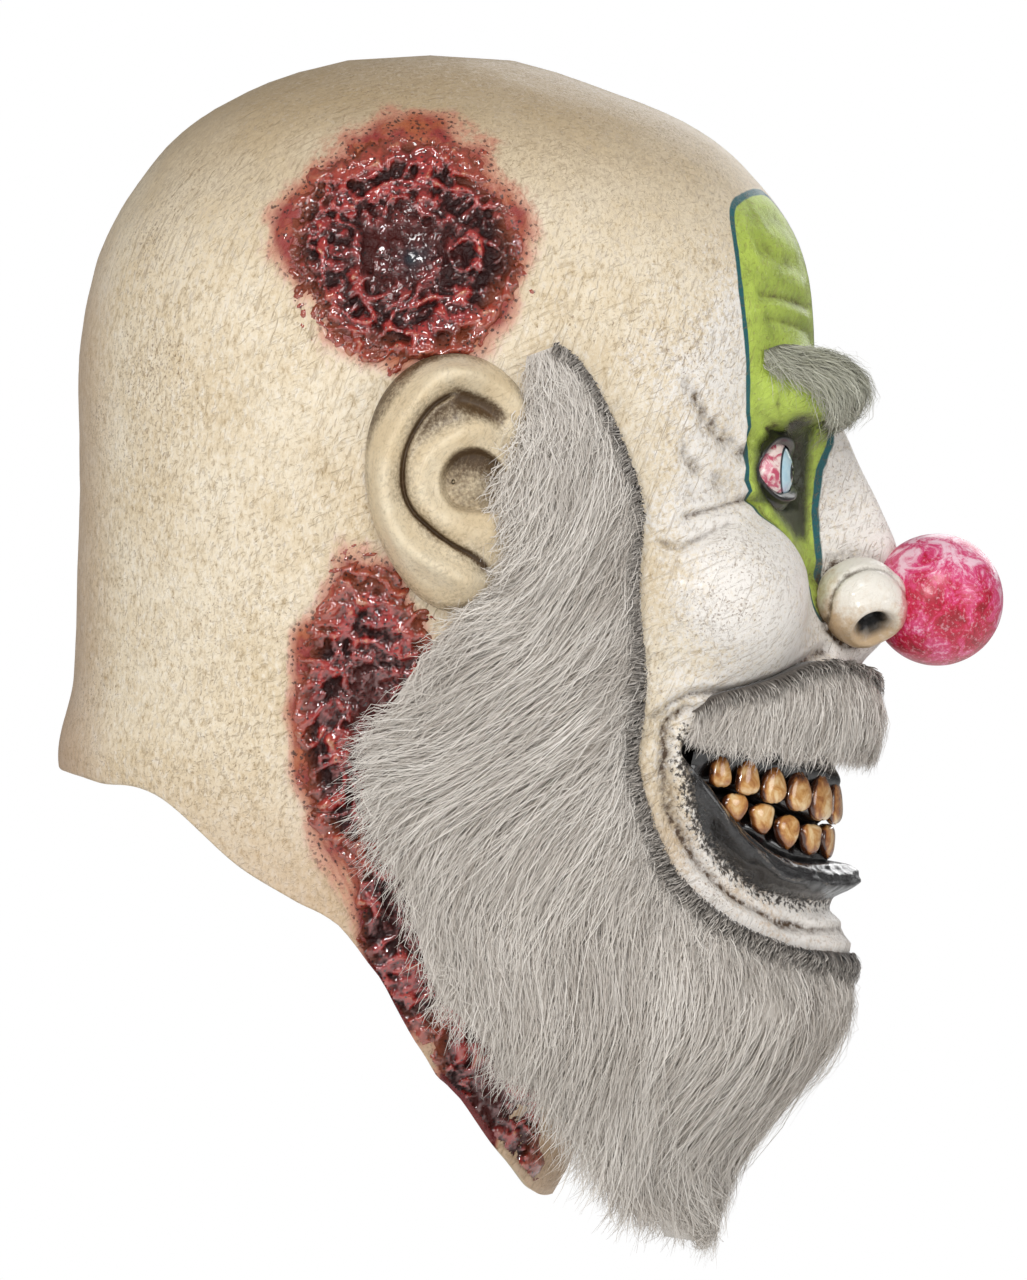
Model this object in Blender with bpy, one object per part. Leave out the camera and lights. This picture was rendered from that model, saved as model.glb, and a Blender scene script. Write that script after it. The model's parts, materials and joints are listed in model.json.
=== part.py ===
# Over-the-head clown mask: a bald latex head with a ball nose, glued fur and loose-cast teeth.
# The face looks along -Y, +Z is up, and the origin is where the wearer's crown meets the inside.
import math
from collections import namedtuple

import bmesh
import bpy
import numpy as np
from mathutils import Vector

# Driving sizes, in metres
MASK_HEIGHT = 0.353  # crown to the lowest point of the front bib
HEAD_LENGTH = 0.2265  # back of the head to the forehead
HEAD_WIDTH = 0.191  # across the temples
WALL = 0.003  # latex wall
PAD_ROOT = 0.0015  # how far a fur pad reaches into the latex before it is cut to fit
FIT_GAP = 0.0004  # between a piece and the latex it is glued to
PIECE_GAP = 0.0004  # between a tooth and its gum
NOSE_DIAMETER = 0.041  # ball nose
EYE_DIAMETER = 0.031  # eyeball
SOCKET_DEPTH = 0.013  # eye socket below the brow and cheek
EAR_HEIGHT = 0.078
EAR_WIDTH = 0.053
EAR_LIFT = 0.017  # the helix off the side of the head
NOSTRIL_DIAMETER = 0.0085
MOUTH_DEPTH = 0.015  # mouth recess below the lips
MOUTH_EDGE = 0.0035  # height over which the recess falls to its depth
LIP_ROLL = 0.005  # how far the lower lip rolls out
WOUND_DEPTH = 0.002  # the two wounds on the right side
GUM_DEPTH = 0.006  # face of the gums below the lips
GUM_THICKNESS = 0.011  # before it is cut to the bottom of the mouth
TOOTH_THICKNESS = 0.0046
UPPER_TOOTH_LENGTH = 0.0125  # of the front teeth
LOWER_TOOTH_LENGTH = 0.0098
BEARD_THICKNESS = 0.009  # fur over the jaw
BEARD_HANG = 0.090  # fur below the chin line
BEARD_TAIL = 0.016  # thickness of the part that hangs free
MOUSTACHE_THICKNESS = 0.011
BROW_THICKNESS = 0.0045

# Grid counts of the faceted solids
HEAD_COLUMNS = 44
EAR_COLUMNS = 14
BEARD_COLUMNS = 40
BEARD_ROWS = 6
BEARD_LOCKS = 5  # locks on each half of the beard
MOUSTACHE_LOCKS = 3
BROW_LOCKS = 2

# Head sections from the crown down. drop is a share of MASK_HEIGHT; back, front and middle (where
# the section is widest) are shares of HEAD_LENGTH; half is a share of HEAD_WIDTH; front_curve and
# back_curve are superellipse powers.
Section = namedtuple("Section", "drop back front half middle front_curve back_curve")
SECTIONS = [
    Section(0.0000, -0.000, 0.000, 0.000, 0.000, 2.00, 2.0),
    Section(0.0057, -0.115, 0.115, 0.118, 0.000, 2.00, 2.0),
    Section(0.0255, -0.225, 0.216, 0.232, -0.010, 2.00, 2.0),
    Section(0.0595, -0.322, 0.349, 0.340, -0.020, 2.00, 2.1),
    Section(0.1050, -0.390, 0.439, 0.410, -0.030, 2.05, 2.1),
    Section(0.1700, -0.449, 0.508, 0.462, -0.040, 2.10, 2.2),
    Section(0.2580, -0.479, 0.526, 0.495, -0.044, 2.15, 2.2),
    Section(0.3630, -0.479, 0.512, 0.500, -0.044, 2.10, 2.2),
    Section(0.4620, -0.483, 0.525, 0.487, -0.044, 2.00, 2.2),
    Section(0.5470, -0.488, 0.578, 0.466, -0.044, 1.85, 2.2),
    Section(0.6230, -0.508, 0.578, 0.442, -0.044, 1.80, 2.2),
    Section(0.7030, -0.459, 0.559, 0.415, -0.035, 1.80, 2.1),
    Section(0.7880, -0.389, 0.560, 0.378, -0.010, 1.80, 2.0),
    Section(0.8360, -0.344, 0.505, 0.345, 0.000, 1.85, 2.0),
    Section(0.8725, -0.309, 0.371, 0.315, 0.005, 1.95, 2.0),
    Section(0.9290, -0.243, 0.238, 0.275, 0.005, 2.00, 2.0),
    Section(1.0000, -0.185, 0.168, 0.240, 0.000, 2.00, 2.0),
]

# Slanted neck edge: angle from the face in degrees, drop as a share of MASK_HEIGHT
Rim = namedtuple("Rim", "angle drop")
RIM = [
    Rim(0, 1.000), Rim(40, 0.990), Rim(55, 0.970), Rim(66, 0.952), Rim(80, 0.918),
    Rim(90, 0.885), Rim(97, 0.835), Rim(104, 0.765), Rim(112, 0.738), Rim(121, 0.708),
    Rim(131, 0.656), Rim(150, 0.637), Rim(180, 0.623),
]  # fmt: skip

# Rounded swellings, mirrored to both sides. side is a share of HEAD_WIDTH, forward of HEAD_LENGTH
# and drop of MASK_HEIGHT; wide, deep and tall are the radii as shares of the same three sizes.
Swelling = namedtuple("Swelling", "name side forward drop wide deep tall blend")
SWELLINGS = [
    Swelling("brow", 0.141, 0.460, 0.295, 0.131, 0.118, 0.038, 0.006),
    Swelling("cheek", 0.232, 0.385, 0.474, 0.172, 0.128, 0.074, 0.016),
    Swelling("chin", 0.000, 0.455, 0.776, 0.136, 0.118, 0.040, 0.006),
]

# Nose ridge: drop as a share of MASK_HEIGHT, push as a share of HEAD_LENGTH, half as one of HEAD_WIDTH
Ridge = namedtuple("Ridge", "drop push half")
NOSE_RIDGE = [
    Ridge(0.290, 0.000, 0.060), Ridge(0.326, 0.048, 0.060), Ridge(0.363, 0.078, 0.056),
    Ridge(0.405, 0.108, 0.054), Ridge(0.435, 0.122, 0.056), Ridge(0.476, 0.105, 0.060),
    Ridge(0.512, 0.065, 0.060), Ridge(0.535, 0.018, 0.060), Ridge(0.555, 0.000, 0.060),
]  # fmt: skip

# Mouth: angle in degrees, upper and lower lip lines as shares of MASK_HEIGHT, and how deep the
# recess is there as a share of MOUTH_DEPTH. Past the corner the lines only guide the grid rows.
Lip = namedtuple("Lip", "angle upper lower open")
MOUTH = [
    Lip(0, 0.606, 0.711, 1.0), Lip(15, 0.606, 0.711, 1.0), Lip(25, 0.605, 0.708, 1.0),
    Lip(33, 0.603, 0.696, 1.0), Lip(40, 0.600, 0.672, 1.0), Lip(45, 0.598, 0.643, 0.7),
    Lip(50, 0.599, 0.617, 0.0), Lip(57, 0.602, 0.660, 0.0), Lip(66, 0.606, 0.706, 0.0),
    Lip(72, 0.606, 0.706, 0.0), Lip(80, 0.606, 0.706, 0.0), Lip(180, 0.606, 0.706, 0.0),
]  # fmt: skip

LIP_LINES = ("upper", "lower", "open")
LIP_ZONE = (0.520, 0.800)  # the drops between which the grid rows bend to the lip lines

# Grid rows: from one drop share to the next, in equal steps
Band = namedtuple("Band", "drop rows")
BANDS = [
    Band(0.006, 1), Band(0.0255, 1), Band(0.0595, 1), Band(0.105, 2), Band(0.195, 2), Band(0.245, 8),
    Band(0.400, 7), Band(0.520, 4), Band(0.606, 1), Band(0.616, 3), Band(0.696, 1), Band(0.706, 4), Band(0.765, 5),
    Band(1.000, 0),
]  # fmt: skip

# Fold of the smile round the mouth: angle in degrees, drop as a share of MASK_HEIGHT
Fold = namedtuple("Fold", "angle drop")
SMILE_FOLD = [
    Fold(14, 0.520), Fold(30, 0.532), Fold(46, 0.560), Fold(56, 0.610),
    Fold(52, 0.670), Fold(42, 0.715), Fold(25, 0.745), Fold(0, 0.752),
]  # fmt: skip
FOLD_DEPTH, FOLD_WIDTH = 0.009, 0.013  # shares of HEAD_WIDTH and MASK_HEIGHT

EYE_PLACE = (0.172, 0.432, 0.367)  # side, forward and drop shares of the eyeball's centre
SOCKET_REACH = (0.086, 0.036)  # half width and half height, shares of HEAD_WIDTH and MASK_HEIGHT
NOSE_PLACE = (0.0, 0.694, 0.478)  # centre of the ball nose
NOSE_WING_PLACE = (0.072, 0.578, 0.480)
NOSE_WING_SIZES = (0.026, 0.034, 0.026)  # across, along and up
NOSTRIL_PLACE = (0.085, 0.606, 0.511)
EAR_PLACE = (0.034, 0.378)  # forward and drop shares of the ear's centre

# Wounds on the right side: forward and drop shares of the centre, then their reach
Wound = namedtuple("Wound", "forward drop long tall")
WOUNDS = [Wound(-0.034, 0.176, 0.146, 0.094), Wound(-0.105, 0.553, 0.062, 0.079)]

# Ear from the middle of the bowl out over the helix and back under: reach is a share of the half
# width or height, lift a share of EAR_LIFT
EarRing = namedtuple("EarRing", "reach lift")
EAR_RINGS = [
    EarRing(0.24, 0.12), EarRing(0.36, 0.50), EarRing(0.49, 0.74), EarRing(0.63, 0.52),
    EarRing(0.76, 0.66), EarRing(0.88, 1.00), EarRing(1.00, 0.86), EarRing(0.98, 0.35),
    EarRing(0.90, -0.08), EarRing(0.50, -0.08),
]  # fmt: skip
EAR_EGG = 0.14  # the top is wider than the lobe
EAR_FRONT_LIFT = 0.30  # the front edge lies nearly flat, as a share of the lift at the back

# Teeth of one side from the middle back: angle in degrees, width and length as shares of the
# front teeth, row height as a share of MASK_HEIGHT at the tooth's middle
Tooth = namedtuple("Tooth", "angle width length drop")
TOOTH_WIDTH = 0.0118  # of the front teeth
UPPER_TEETH = [
    Tooth(6.5, 1.00, 1.00, 0.656), Tooth(16.3, 0.98, 1.06, 0.651), Tooth(24.5, 0.84, 0.94, 0.645),
    Tooth(31.3, 0.76, 0.86, 0.639), Tooth(37.0, 0.72, 0.84, 0.632), Tooth(42.2, 0.62, 0.74, 0.627),
]  # fmt: skip
LOWER_TEETH = [
    Tooth(7.5, 0.98, 1.00, 0.6905), Tooth(17.8, 0.92, 0.90, 0.6880), Tooth(26.0, 0.80, 0.98, 0.6810),
    Tooth(32.8, 0.74, 0.86, 0.6695), Tooth(38.7, 0.68, 0.80, 0.6590),
]  # fmt: skip

# Beard from the middle of the chin to the top of a sideburn. face_angle and face_drop follow the
# hair line, tip_angle and tip_drop the free edge; drops up to 1 are shares of MASK_HEIGHT, and
# fall is the extra drop of the free edge as a share of BEARD_HANG.
Fur = namedtuple("Fur", "face_angle face_drop tip_angle tip_drop fall thick")
BEARD = [
    Fur(0, 0.786, 0, 0.786, 1.00, 1.2), Fur(14, 0.785, 30, 0.786, 0.97, 1.2),
    Fur(27, 0.781, 56, 0.786, 0.86, 1.2), Fur(38, 0.765, 75, 0.786, 0.64, 1.1),
    Fur(45, 0.742, 86, 0.786, 0.40, 1.0), Fur(50, 0.712, 90, 0.786, 0.16, 1.0),
    Fur(53.5, 0.670, 90, 0.735, 0.00, 1.0), Fur(56, 0.615, 94, 0.660, 0.00, 1.0),
    Fur(56, 0.550, 91, 0.580, 0.00, 1.0), Fur(55.5, 0.494, 85, 0.514, 0.00, 0.9),
    Fur(55, 0.430, 71, 0.475, 0.00, 0.75), Fur(55.5, 0.385, 69.5, 0.400, 0.00, 0.7),
    Fur(61, 0.320, 70, 0.343, 0.00, 0.6), Fur(66, 0.277, 72, 0.300, 0.00, 0.5),
    Fur(70, 0.262, 73.5, 0.270, 0.00, 0.3),
]  # fmt: skip

# Sections of the free part of the beard below the chin: fall as a share of BEARD_HANG, middle and
# front as shares of HEAD_LENGTH, half as a share of HEAD_WIDTH
Tail = namedtuple("Tail", "fall middle front half")
BEARD_TAILS = [
    Tail(0.00, 0.000, 0.566, 0.425), Tail(0.15, 0.030, 0.564, 0.412), Tail(0.30, 0.075, 0.530, 0.385),
    Tail(0.48, 0.130, 0.456, 0.330), Tail(0.70, 0.185, 0.376, 0.255), Tail(0.88, 0.225, 0.340, 0.180),
    Tail(1.10, 0.265, 0.312, 0.090),
]  # fmt: skip

# Moustache and brows: angle in degrees, upper and lower edge as shares of MASK_HEIGHT
Pad = namedtuple("Pad", "angle upper lower thick")
MOUSTACHE = [
    Pad(0, 0.545, 0.616, 1.0), Pad(14, 0.534, 0.615, 1.0), Pad(26, 0.532, 0.613, 0.9),
    Pad(36, 0.541, 0.610, 0.75), Pad(44, 0.556, 0.602, 0.5), Pad(48, 0.575, 0.594, 0.3),
]  # fmt: skip
BROW_HAIR = [
    Pad(6, 0.292, 0.312, 0.6), Pad(11, 0.277, 0.313, 1.0), Pad(18, 0.263, 0.304, 1.0),
    Pad(25, 0.257, 0.288, 0.8), Pad(31, 0.262, 0.275, 0.4),
]  # fmt: skip

# Colour, roughness and metallic value of each finish, as seen on the real mask
FINISHES = {
    "latex": ((0.80, 0.70, 0.52), 0.45),
    "red_paint": ((0.62, 0.02, 0.06), 0.30),
    "eye": ((0.85, 0.62, 0.58), 0.15),
    "gum": ((0.02, 0.02, 0.02), 0.20),
    "tooth": ((0.47, 0.22, 0.07), 0.25),
    "fur": ((0.46, 0.42, 0.38), 0.80),
}


def curve(x, xs, ys):
    """Smooth line through the points (xs, ys), read at x."""
    xs, ys = np.asarray(xs, float), np.asarray(ys, float)
    slope = np.gradient(ys, xs)
    i = np.clip(np.searchsorted(xs, x) - 1, 0, len(xs) - 2)
    step = xs[i + 1] - xs[i]
    t = np.clip((x - xs[i]) / step, 0, 1)
    start = (1 + 2 * t) * (1 - t) ** 2 * ys[i] + t * (1 - t) ** 2 * step * slope[i]
    return start + t * t * (3 - 2 * t) * ys[i + 1] + t * t * (t - 1) * step * slope[i + 1]


def column(table, name):
    return [getattr(row, name) for row in table]


def section_column(name, row):
    """One column of SECTIONS at a fractional row. The crown is rounded by a mirrored row above it."""
    values = column(SECTIONS, name)
    mirrored = values[1] if name in ("drop", "middle", "front_curve", "back_curve") else -values[1]
    return curve(row, np.arange(-1, len(values)), [mirrored, *values])


def row_at(drop):
    """The fractional row of SECTIONS at a drop share."""
    rows = np.linspace(0, len(SECTIONS) - 1, 1601)
    return np.interp(drop, section_column("drop", rows), rows)


def place(side, forward, drop):
    """Shares of the head's three sizes to (side, forward, up) in metres."""
    return np.stack(
        np.broadcast_arrays(side * HEAD_WIDTH, forward * HEAD_LENGTH, WALL - drop * MASK_HEIGHT), -1
    )


def bare_head(angle, row):
    """Head without features: horizontal superellipse sections, wider or fuller at each height."""
    cos, sin = np.cos(angle), np.sin(angle)
    reach = np.where(cos > 0, section_column("front", row), section_column("back", row))
    middle = section_column("middle", row)
    power = 2 / np.where(cos > 0, section_column("front_curve", row), section_column("back_curve", row))
    side = section_column("half", row) * np.sign(sin) * np.abs(sin) ** power
    forward = middle + (reach - middle) * np.abs(cos) ** power
    return place(side, forward, section_column("drop", row))


def swell(points, swelling):
    """Pushes the points out from the swelling's centre to its ellipsoid, blended at the foot."""
    centre = place(swelling.side, swelling.forward, swelling.drop)
    radii = np.array([HEAD_WIDTH * swelling.wide, HEAD_LENGTH * swelling.deep, MASK_HEIGHT * swelling.tall])
    away = points * [1, 1, 1] - centre
    away[..., 0] = np.abs(points[..., 0]) - centre[0]
    length = np.maximum(np.linalg.norm(away, axis=-1), 1e-6)
    ray = away / length[..., None]
    reach = 1 / np.linalg.norm(ray / radii, axis=-1)
    mix = np.clip(0.5 + 0.5 * (reach - length) / swelling.blend, 0, 1)
    new = length * (1 - mix) + reach * mix + swelling.blend * mix * (1 - mix)
    moved = centre + ray * new[..., None]
    moved[..., 0] = np.maximum(moved[..., 0], 0) * np.sign(points[..., 0])
    if swelling.side == 0:
        moved[..., 0] = ray[..., 0] * new * np.sign(points[..., 0])
    return moved


def plateau(distance, edge):
    """1 where the distance is below 1 - edge, falling smoothly to 0 at 1."""
    t = np.clip((1 - distance) / edge, 0, 1)
    return t * t * (3 - 2 * t)


def normals_of(points, wrap):
    """Outward normals of a grid of points, whose first axis runs round and second runs down."""
    if wrap:
        round_step = np.roll(points, -1, 0) - np.roll(points, 1, 0)
    else:
        round_step = np.gradient(points, axis=0)
    normal = np.cross(round_step, np.gradient(points, axis=1))
    return normal / np.maximum(np.linalg.norm(normal, axis=-1, keepdims=True), 1e-12)


def fold_distance(angle, drop):
    """Distance from the smile fold, in multiples of its width."""
    steps = np.linspace(0, len(SMILE_FOLD) - 1, 60)
    index = np.arange(len(SMILE_FOLD))
    fold_angle = np.radians(curve(steps, index, column(SMILE_FOLD, "angle")))
    fold_drop = curve(steps, index, column(SMILE_FOLD, "drop"))
    across = (np.abs(angle)[..., None] - fold_angle) * HEAD_WIDTH / 2
    down = (drop[..., None] - fold_drop) * MASK_HEIGHT
    return np.hypot(across, down).min(-1) / (FOLD_WIDTH * MASK_HEIGHT)


def head(angle, row, recesses=True):
    """The sculpted head: the bare head, then the nose, the swellings, the lips and the recesses."""
    points = bare_head(angle, row)
    drop = section_column("drop", row)
    ridge_push = curve(drop, column(NOSE_RIDGE, "drop"), column(NOSE_RIDGE, "push")) * HEAD_LENGTH
    ridge_half = curve(drop, column(NOSE_RIDGE, "drop"), column(NOSE_RIDGE, "half")) * HEAD_WIDTH
    in_front = np.cos(angle) > 0
    points[..., 1] += in_front * ridge_push * np.exp(-((points[..., 0] / ridge_half) ** 2))
    for swelling in SWELLINGS:
        points = np.where(in_front[..., None], swell(points, swelling), points)
    outward = np.stack([np.sin(angle), np.cos(angle), np.zeros_like(angle)], -1)
    degrees = np.degrees(np.abs(angle))
    upper, lower, opened = (curve(degrees, column(MOUTH, "angle"), column(MOUTH, n)) for n in LIP_LINES)
    lip_height = LIP_ROLL / MASK_HEIGHT
    roll = np.exp(-(((drop - lower - lip_height) / lip_height) ** 2)) * opened
    groove = np.exp(-(((drop - lower - 2.6 * lip_height) / lip_height) ** 2)) * opened
    fold = np.exp(-(fold_distance(angle, drop) ** 2))
    push = LIP_ROLL * (roll - 0.6 * groove) - FOLD_DEPTH * HEAD_WIDTH * fold
    points = points + outward * push[..., None]
    if recesses:
        points = recess(points, angle, np.minimum(drop - upper, lower - drop) * MASK_HEIGHT, opened)
    return points


def recess(points, angle, inside, opened):
    """Mouth, eye sockets and wounds, pressed into the head. inside is the distance in from the lips."""
    outward = np.stack([np.sin(angle), np.cos(angle), np.zeros_like(angle)], -1)
    points = points - outward * (MOUTH_DEPTH * opened * plateau(1 - inside / MOUTH_EDGE, 1.0))[..., None]
    eye = place(*EYE_PLACE)
    across = (np.abs(points[..., 0]) - eye[0]) / (SOCKET_REACH[0] * HEAD_WIDTH)
    down = (points[..., 2] - eye[2]) / (SOCKET_REACH[1] * MASK_HEIGHT)
    socket = SOCKET_DEPTH * plateau(np.hypot(across, down), 0.55) * (np.cos(angle) > 0)
    points = points - outward * socket[..., None]
    for wound in WOUNDS:
        middle = place(0, wound.forward, wound.drop)
        along = (points[..., 1] - middle[1]) / (wound.long * HEAD_LENGTH)
        down = (points[..., 2] - middle[2]) / (wound.tall * MASK_HEIGHT)
        dent = WOUND_DEPTH * plateau(np.hypot(along, down), 0.35) * (points[..., 0] < 0)
        points = points - outward * dent[..., None]
    return points


def column_angles():
    """Angles of the grid columns from the back round to the back, crowded at the face."""
    share = np.linspace(-1, 1, HEAD_COLUMNS, endpoint=False)
    return math.pi / 2 * (share + share**3)


def head_grid():
    """Angle and row of each point of the head's grid. The columns end on the neck edge, and two rows
    follow the lip lines."""
    angle = column_angles()[:, None]
    stops = [np.linspace(a.drop, b.drop, a.rows, endpoint=False) for a, b in zip(BANDS, BANDS[1:])]
    drop = np.concatenate([[0], *stops, [1]])[None, :]
    degrees = np.degrees(np.abs(angle))
    cut = 1 - curve(degrees, column(RIM, "angle"), column(RIM, "drop"))
    drop = drop * (1 - cut * drop ** np.minimum(5, 0.6 / np.maximum(cut, 1e-6) - 1))
    upper, lower = (curve(degrees, column(MOUTH, "angle"), column(MOUTH, n)) for n in LIP_LINES[:2])
    level = [LIP_ZONE[0], MOUTH[-1].upper, MOUTH[-1].lower, LIP_ZONE[1]]
    target = [LIP_ZONE[0], upper, lower, LIP_ZONE[1]]
    warped = drop + 0 * angle
    for k in range(3):
        share = (drop - level[k]) / (level[k + 1] - level[k])
        between = (share >= 0) & (share < 1)
        warped = np.where(between, target[k] + share * (target[k + 1] - target[k]), warped)
    return angle + 0 * warped, row_at(warped)


def world(points):
    """(side, forward, up) to the object's frame, where the face looks along -Y."""
    return points * [1, -1, 1]


def add_object(name, points, faces, finish=None):
    """One mesh object, smooth where its faces nearly agree, with faces pointing out."""
    mesh = bpy.data.meshes.new(name)
    mesh.from_pydata([tuple(p) for p in world(np.asarray(points).reshape(-1, 3))], [], faces)
    made = bmesh.new()
    made.from_mesh(mesh)
    bmesh.ops.recalc_face_normals(made, faces=made.faces)
    made.to_mesh(mesh)
    made.free()
    mesh.shade_smooth()
    mesh.set_sharp_from_angle(angle=math.radians(50))
    thing = bpy.data.objects.new(name, mesh)
    bpy.context.scene.collection.objects.link(thing)
    if finish:
        mesh.materials.append(finish_material(finish))
    return thing


def finish_material(name):
    """The Principled material of a finish, made once."""
    if name in bpy.data.materials:
        return bpy.data.materials[name]
    colour, roughness = FINISHES[name]
    material = bpy.data.materials.new(name)
    material.use_nodes = True
    shader = material.node_tree.nodes["Principled BSDF"]
    shader.inputs["Base Color"].default_value = (*colour, 1)
    shader.inputs["Roughness"].default_value = roughness
    shader.inputs["Metallic"].default_value = 0
    return material


def grid_faces(columns, rows, wrap, first=0):
    """Triangles of a grid whose point (i, j) has the index first + i * rows + j. Every quad is split
    along the same diagonal, so that a seat and the piece it is cut for have the same facets."""
    faces = []
    for i in range(columns if wrap else columns - 1):
        here, beside = first + i * rows, first + (i + 1) % columns * rows
        for j in range(rows - 1):
            faces.append((here + j, beside + j, beside + j + 1))
            faces.append((here + j, beside + j + 1, here + j + 1))
    return faces


def fan(ring, apex):
    return [(ring[i], ring[(i + 1) % len(ring)], apex) for i in range(len(ring))]


def closed_grid(grid, top, bottom):
    """Points and faces of a grid that wraps round, closed by one point at each end."""
    columns, rows = grid.shape[:2]
    points = np.vstack([grid.reshape(-1, 3), top, bottom])
    count = columns * rows
    faces = grid_faces(columns, rows, True)
    faces += fan([i * rows for i in range(columns)], count)
    faces += fan([i * rows + rows - 1 for i in range(columns)], count + 1)
    return points, faces


def solid_head(name, swollen):
    """The head filled solid up to its neck edge, swollen all over. It cuts seats into other pieces."""
    angle, row = head_grid()
    grid = head(angle, row)
    grid = grid[:, 1:] + normals_of(grid, True)[:, 1:] * swollen
    crown = place(0, 0, 0) + [0, 0, swollen]
    points, faces = closed_grid(grid, crown, grid[:, -1].mean(0))
    return add_object(name, points, faces)


def ear_points(side, swollen):
    """Rings of one ear over the head's side, then the middle of its bowl and of its back."""
    turn = np.linspace(0, 2 * math.pi, EAR_COLUMNS, endpoint=False)[:, None]
    reach = np.array(column(EAR_RINGS, "reach"))[None, :]
    lift = np.array(column(EAR_RINGS, "lift"))[None, :]
    middle = place(0, *EAR_PLACE)
    forward = middle[1] + (reach * EAR_WIDTH / 2 + swollen) * np.cos(turn) * (1 + EAR_EGG * np.sin(turn))
    up = middle[2] + (reach * EAR_HEIGHT / 2 + swollen) * np.sin(turn)
    front = (1 + np.cos(turn)) / 2
    stand = EAR_LIFT * np.where(lift > 0, lift * (1 - front * (1 - EAR_FRONT_LIFT)), lift)
    stand = stand + np.where(lift > 0, swollen, -swollen)
    grid = on_side(side, forward, up, stand)
    bowl = on_side(side, middle[1], middle[2], EAR_LIFT * EAR_RINGS[0].lift * 0.65 + swollen)
    back = on_side(side, middle[1], middle[2], EAR_LIFT * EAR_RINGS[-1].lift - swollen)
    return grid, bowl, back


def on_side(side, forward, up, stand):
    """Points that stand off the bare head's side, found from their place in the side view."""
    row = row_at((WALL - up) / MASK_HEIGHT)
    middle = section_column("middle", row) * HEAD_LENGTH
    ahead = forward > middle
    reach = np.where(ahead, section_column("front", row), section_column("back", row)) * HEAD_LENGTH
    power = np.where(ahead, section_column("front_curve", row), section_column("back_curve", row))
    share = np.clip(np.abs((forward - middle) / (reach - middle)), 0, 0.995)
    half = section_column("half", row) * HEAD_WIDTH * (1 - share**power) ** (1 / power)
    return np.stack(np.broadcast_arrays(side * (half + stand), forward, up), -1)


def add_ear(name, side, swollen=0.0):
    grid, bowl, back = ear_points(side, swollen)
    points, faces = closed_grid(grid, bowl, back)
    return add_object(name, points, faces)


def boolean(target, other, operation):
    modifier = target.modifiers.new(operation.lower() + "_" + other.name, "BOOLEAN")
    modifier.operation = operation
    modifier.object = other
    modifier.solver = "EXACT"
    other.hide_render = True
    other.display_type = "WIRE"


def lowest_near(values, columns, rows):
    """The lowest value within a number of grid steps, round the columns and along the rows."""
    lowest = values.copy()
    for step in range(-columns, columns + 1):
        lowest = np.minimum(lowest, np.roll(values, step, 0))
    padded = np.pad(lowest, ((0, 0), (rows, rows)), mode="edge")
    return np.min([padded[:, k : k + values.shape[1]] for k in range(2 * rows + 1)], axis=0)


def inner_rows(count):
    """Rows of the head's grid that the inside of the latex keeps: fewer below the crown."""
    return np.r_[1:6:2, 9 : count - 4 : 4, count - 1]


def add_skin():
    """The latex skin: one open shell whose inside follows the outside a wall's thickness below."""
    angle, row = head_grid()
    outer, bare = head(angle, row), bare_head(angle, row)
    bare_normal = normals_of(bare, True)
    proud = lowest_near(np.sum((outer - bare) * bare_normal, -1), 1, 4)
    inner = (bare + bare_normal * (proud - WALL)[..., None])[:, inner_rows(bare.shape[1])]
    outer = outer[:, 1:]
    columns, rows = outer.shape[:2]
    under = inner.shape[1]
    first_inner = columns * rows
    crown = first_inner + columns * under
    points = np.vstack([outer.reshape(-1, 3), inner.reshape(-1, 3), place(0, 0, 0), [0, 0, 0]])
    faces = grid_faces(columns, rows, True)
    faces += fan([i * rows for i in range(columns)], crown)
    faces += grid_faces(columns, under, True, first_inner)
    faces += fan([first_inner + i * under for i in range(columns)], crown + 1)
    for i in range(columns):
        k = (i + 1) % columns
        outside = (i * rows + rows - 1, k * rows + rows - 1)
        inside = (first_inner + k * under + under - 1, first_inner + i * under + under - 1)
        faces.append(outside + inside)
    return add_object("latex_skin", points, faces, "latex")


def add_ball(name, centre, diameter, segments, rings, finish, stretch=(1, 1, 1)):
    """A sphere, or an ellipsoid if stretched, with its poles up and down."""
    turn = np.linspace(0, 2 * math.pi, segments, endpoint=False)[:, None]
    tilt = np.linspace(0, math.pi, rings + 1)[None, 1:-1]
    unit = np.stack(
        np.broadcast_arrays(np.sin(tilt) * np.cos(turn), np.sin(tilt) * np.sin(turn), np.cos(tilt)), -1
    )
    radii = diameter / 2 * np.array(stretch)
    poles = centre + radii * [[0, 0, 1], [0, 0, -1]]
    points, faces = closed_grid(centre + unit * radii, poles[0], poles[1])
    return add_object(name, points, faces, finish)


def add_nose_wing(name, side, swollen=0.0):
    """The rounded wing beside the tip of the nose."""
    centre = place(side * NOSE_WING_PLACE[0], *NOSE_WING_PLACE[1:])
    stretch = [(size + 2 * swollen) / (NOSE_WING_SIZES[0] + 2 * swollen) for size in NOSE_WING_SIZES]
    return add_ball(name, centre, NOSE_WING_SIZES[0] + 2 * swollen, 12, 8, "latex", stretch)


def nostril_cutter(side):
    """A slanted rod that opens a nostril through the nose wing."""
    centre = place(side * NOSTRIL_PLACE[0], *NOSTRIL_PLACE[1:])
    made = bmesh.new()
    bmesh.ops.create_cone(
        made, cap_ends=True, segments=12, radius1=NOSTRIL_DIAMETER / 2, radius2=NOSTRIL_DIAMETER / 2,
        depth=HEAD_LENGTH * 0.24,
    )  # fmt: skip
    mesh = bpy.data.meshes.new("nostril_cutter")
    made.to_mesh(mesh)
    made.free()
    cutter = bpy.data.objects.new(mesh.name, mesh)
    bpy.context.scene.collection.objects.link(cutter)
    cutter.location = world(centre)
    lean = Vector((side * 0.55, -0.55, -0.63))
    cutter.rotation_euler = lean.to_track_quat("Z", "Y").to_euler()
    return cutter


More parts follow.
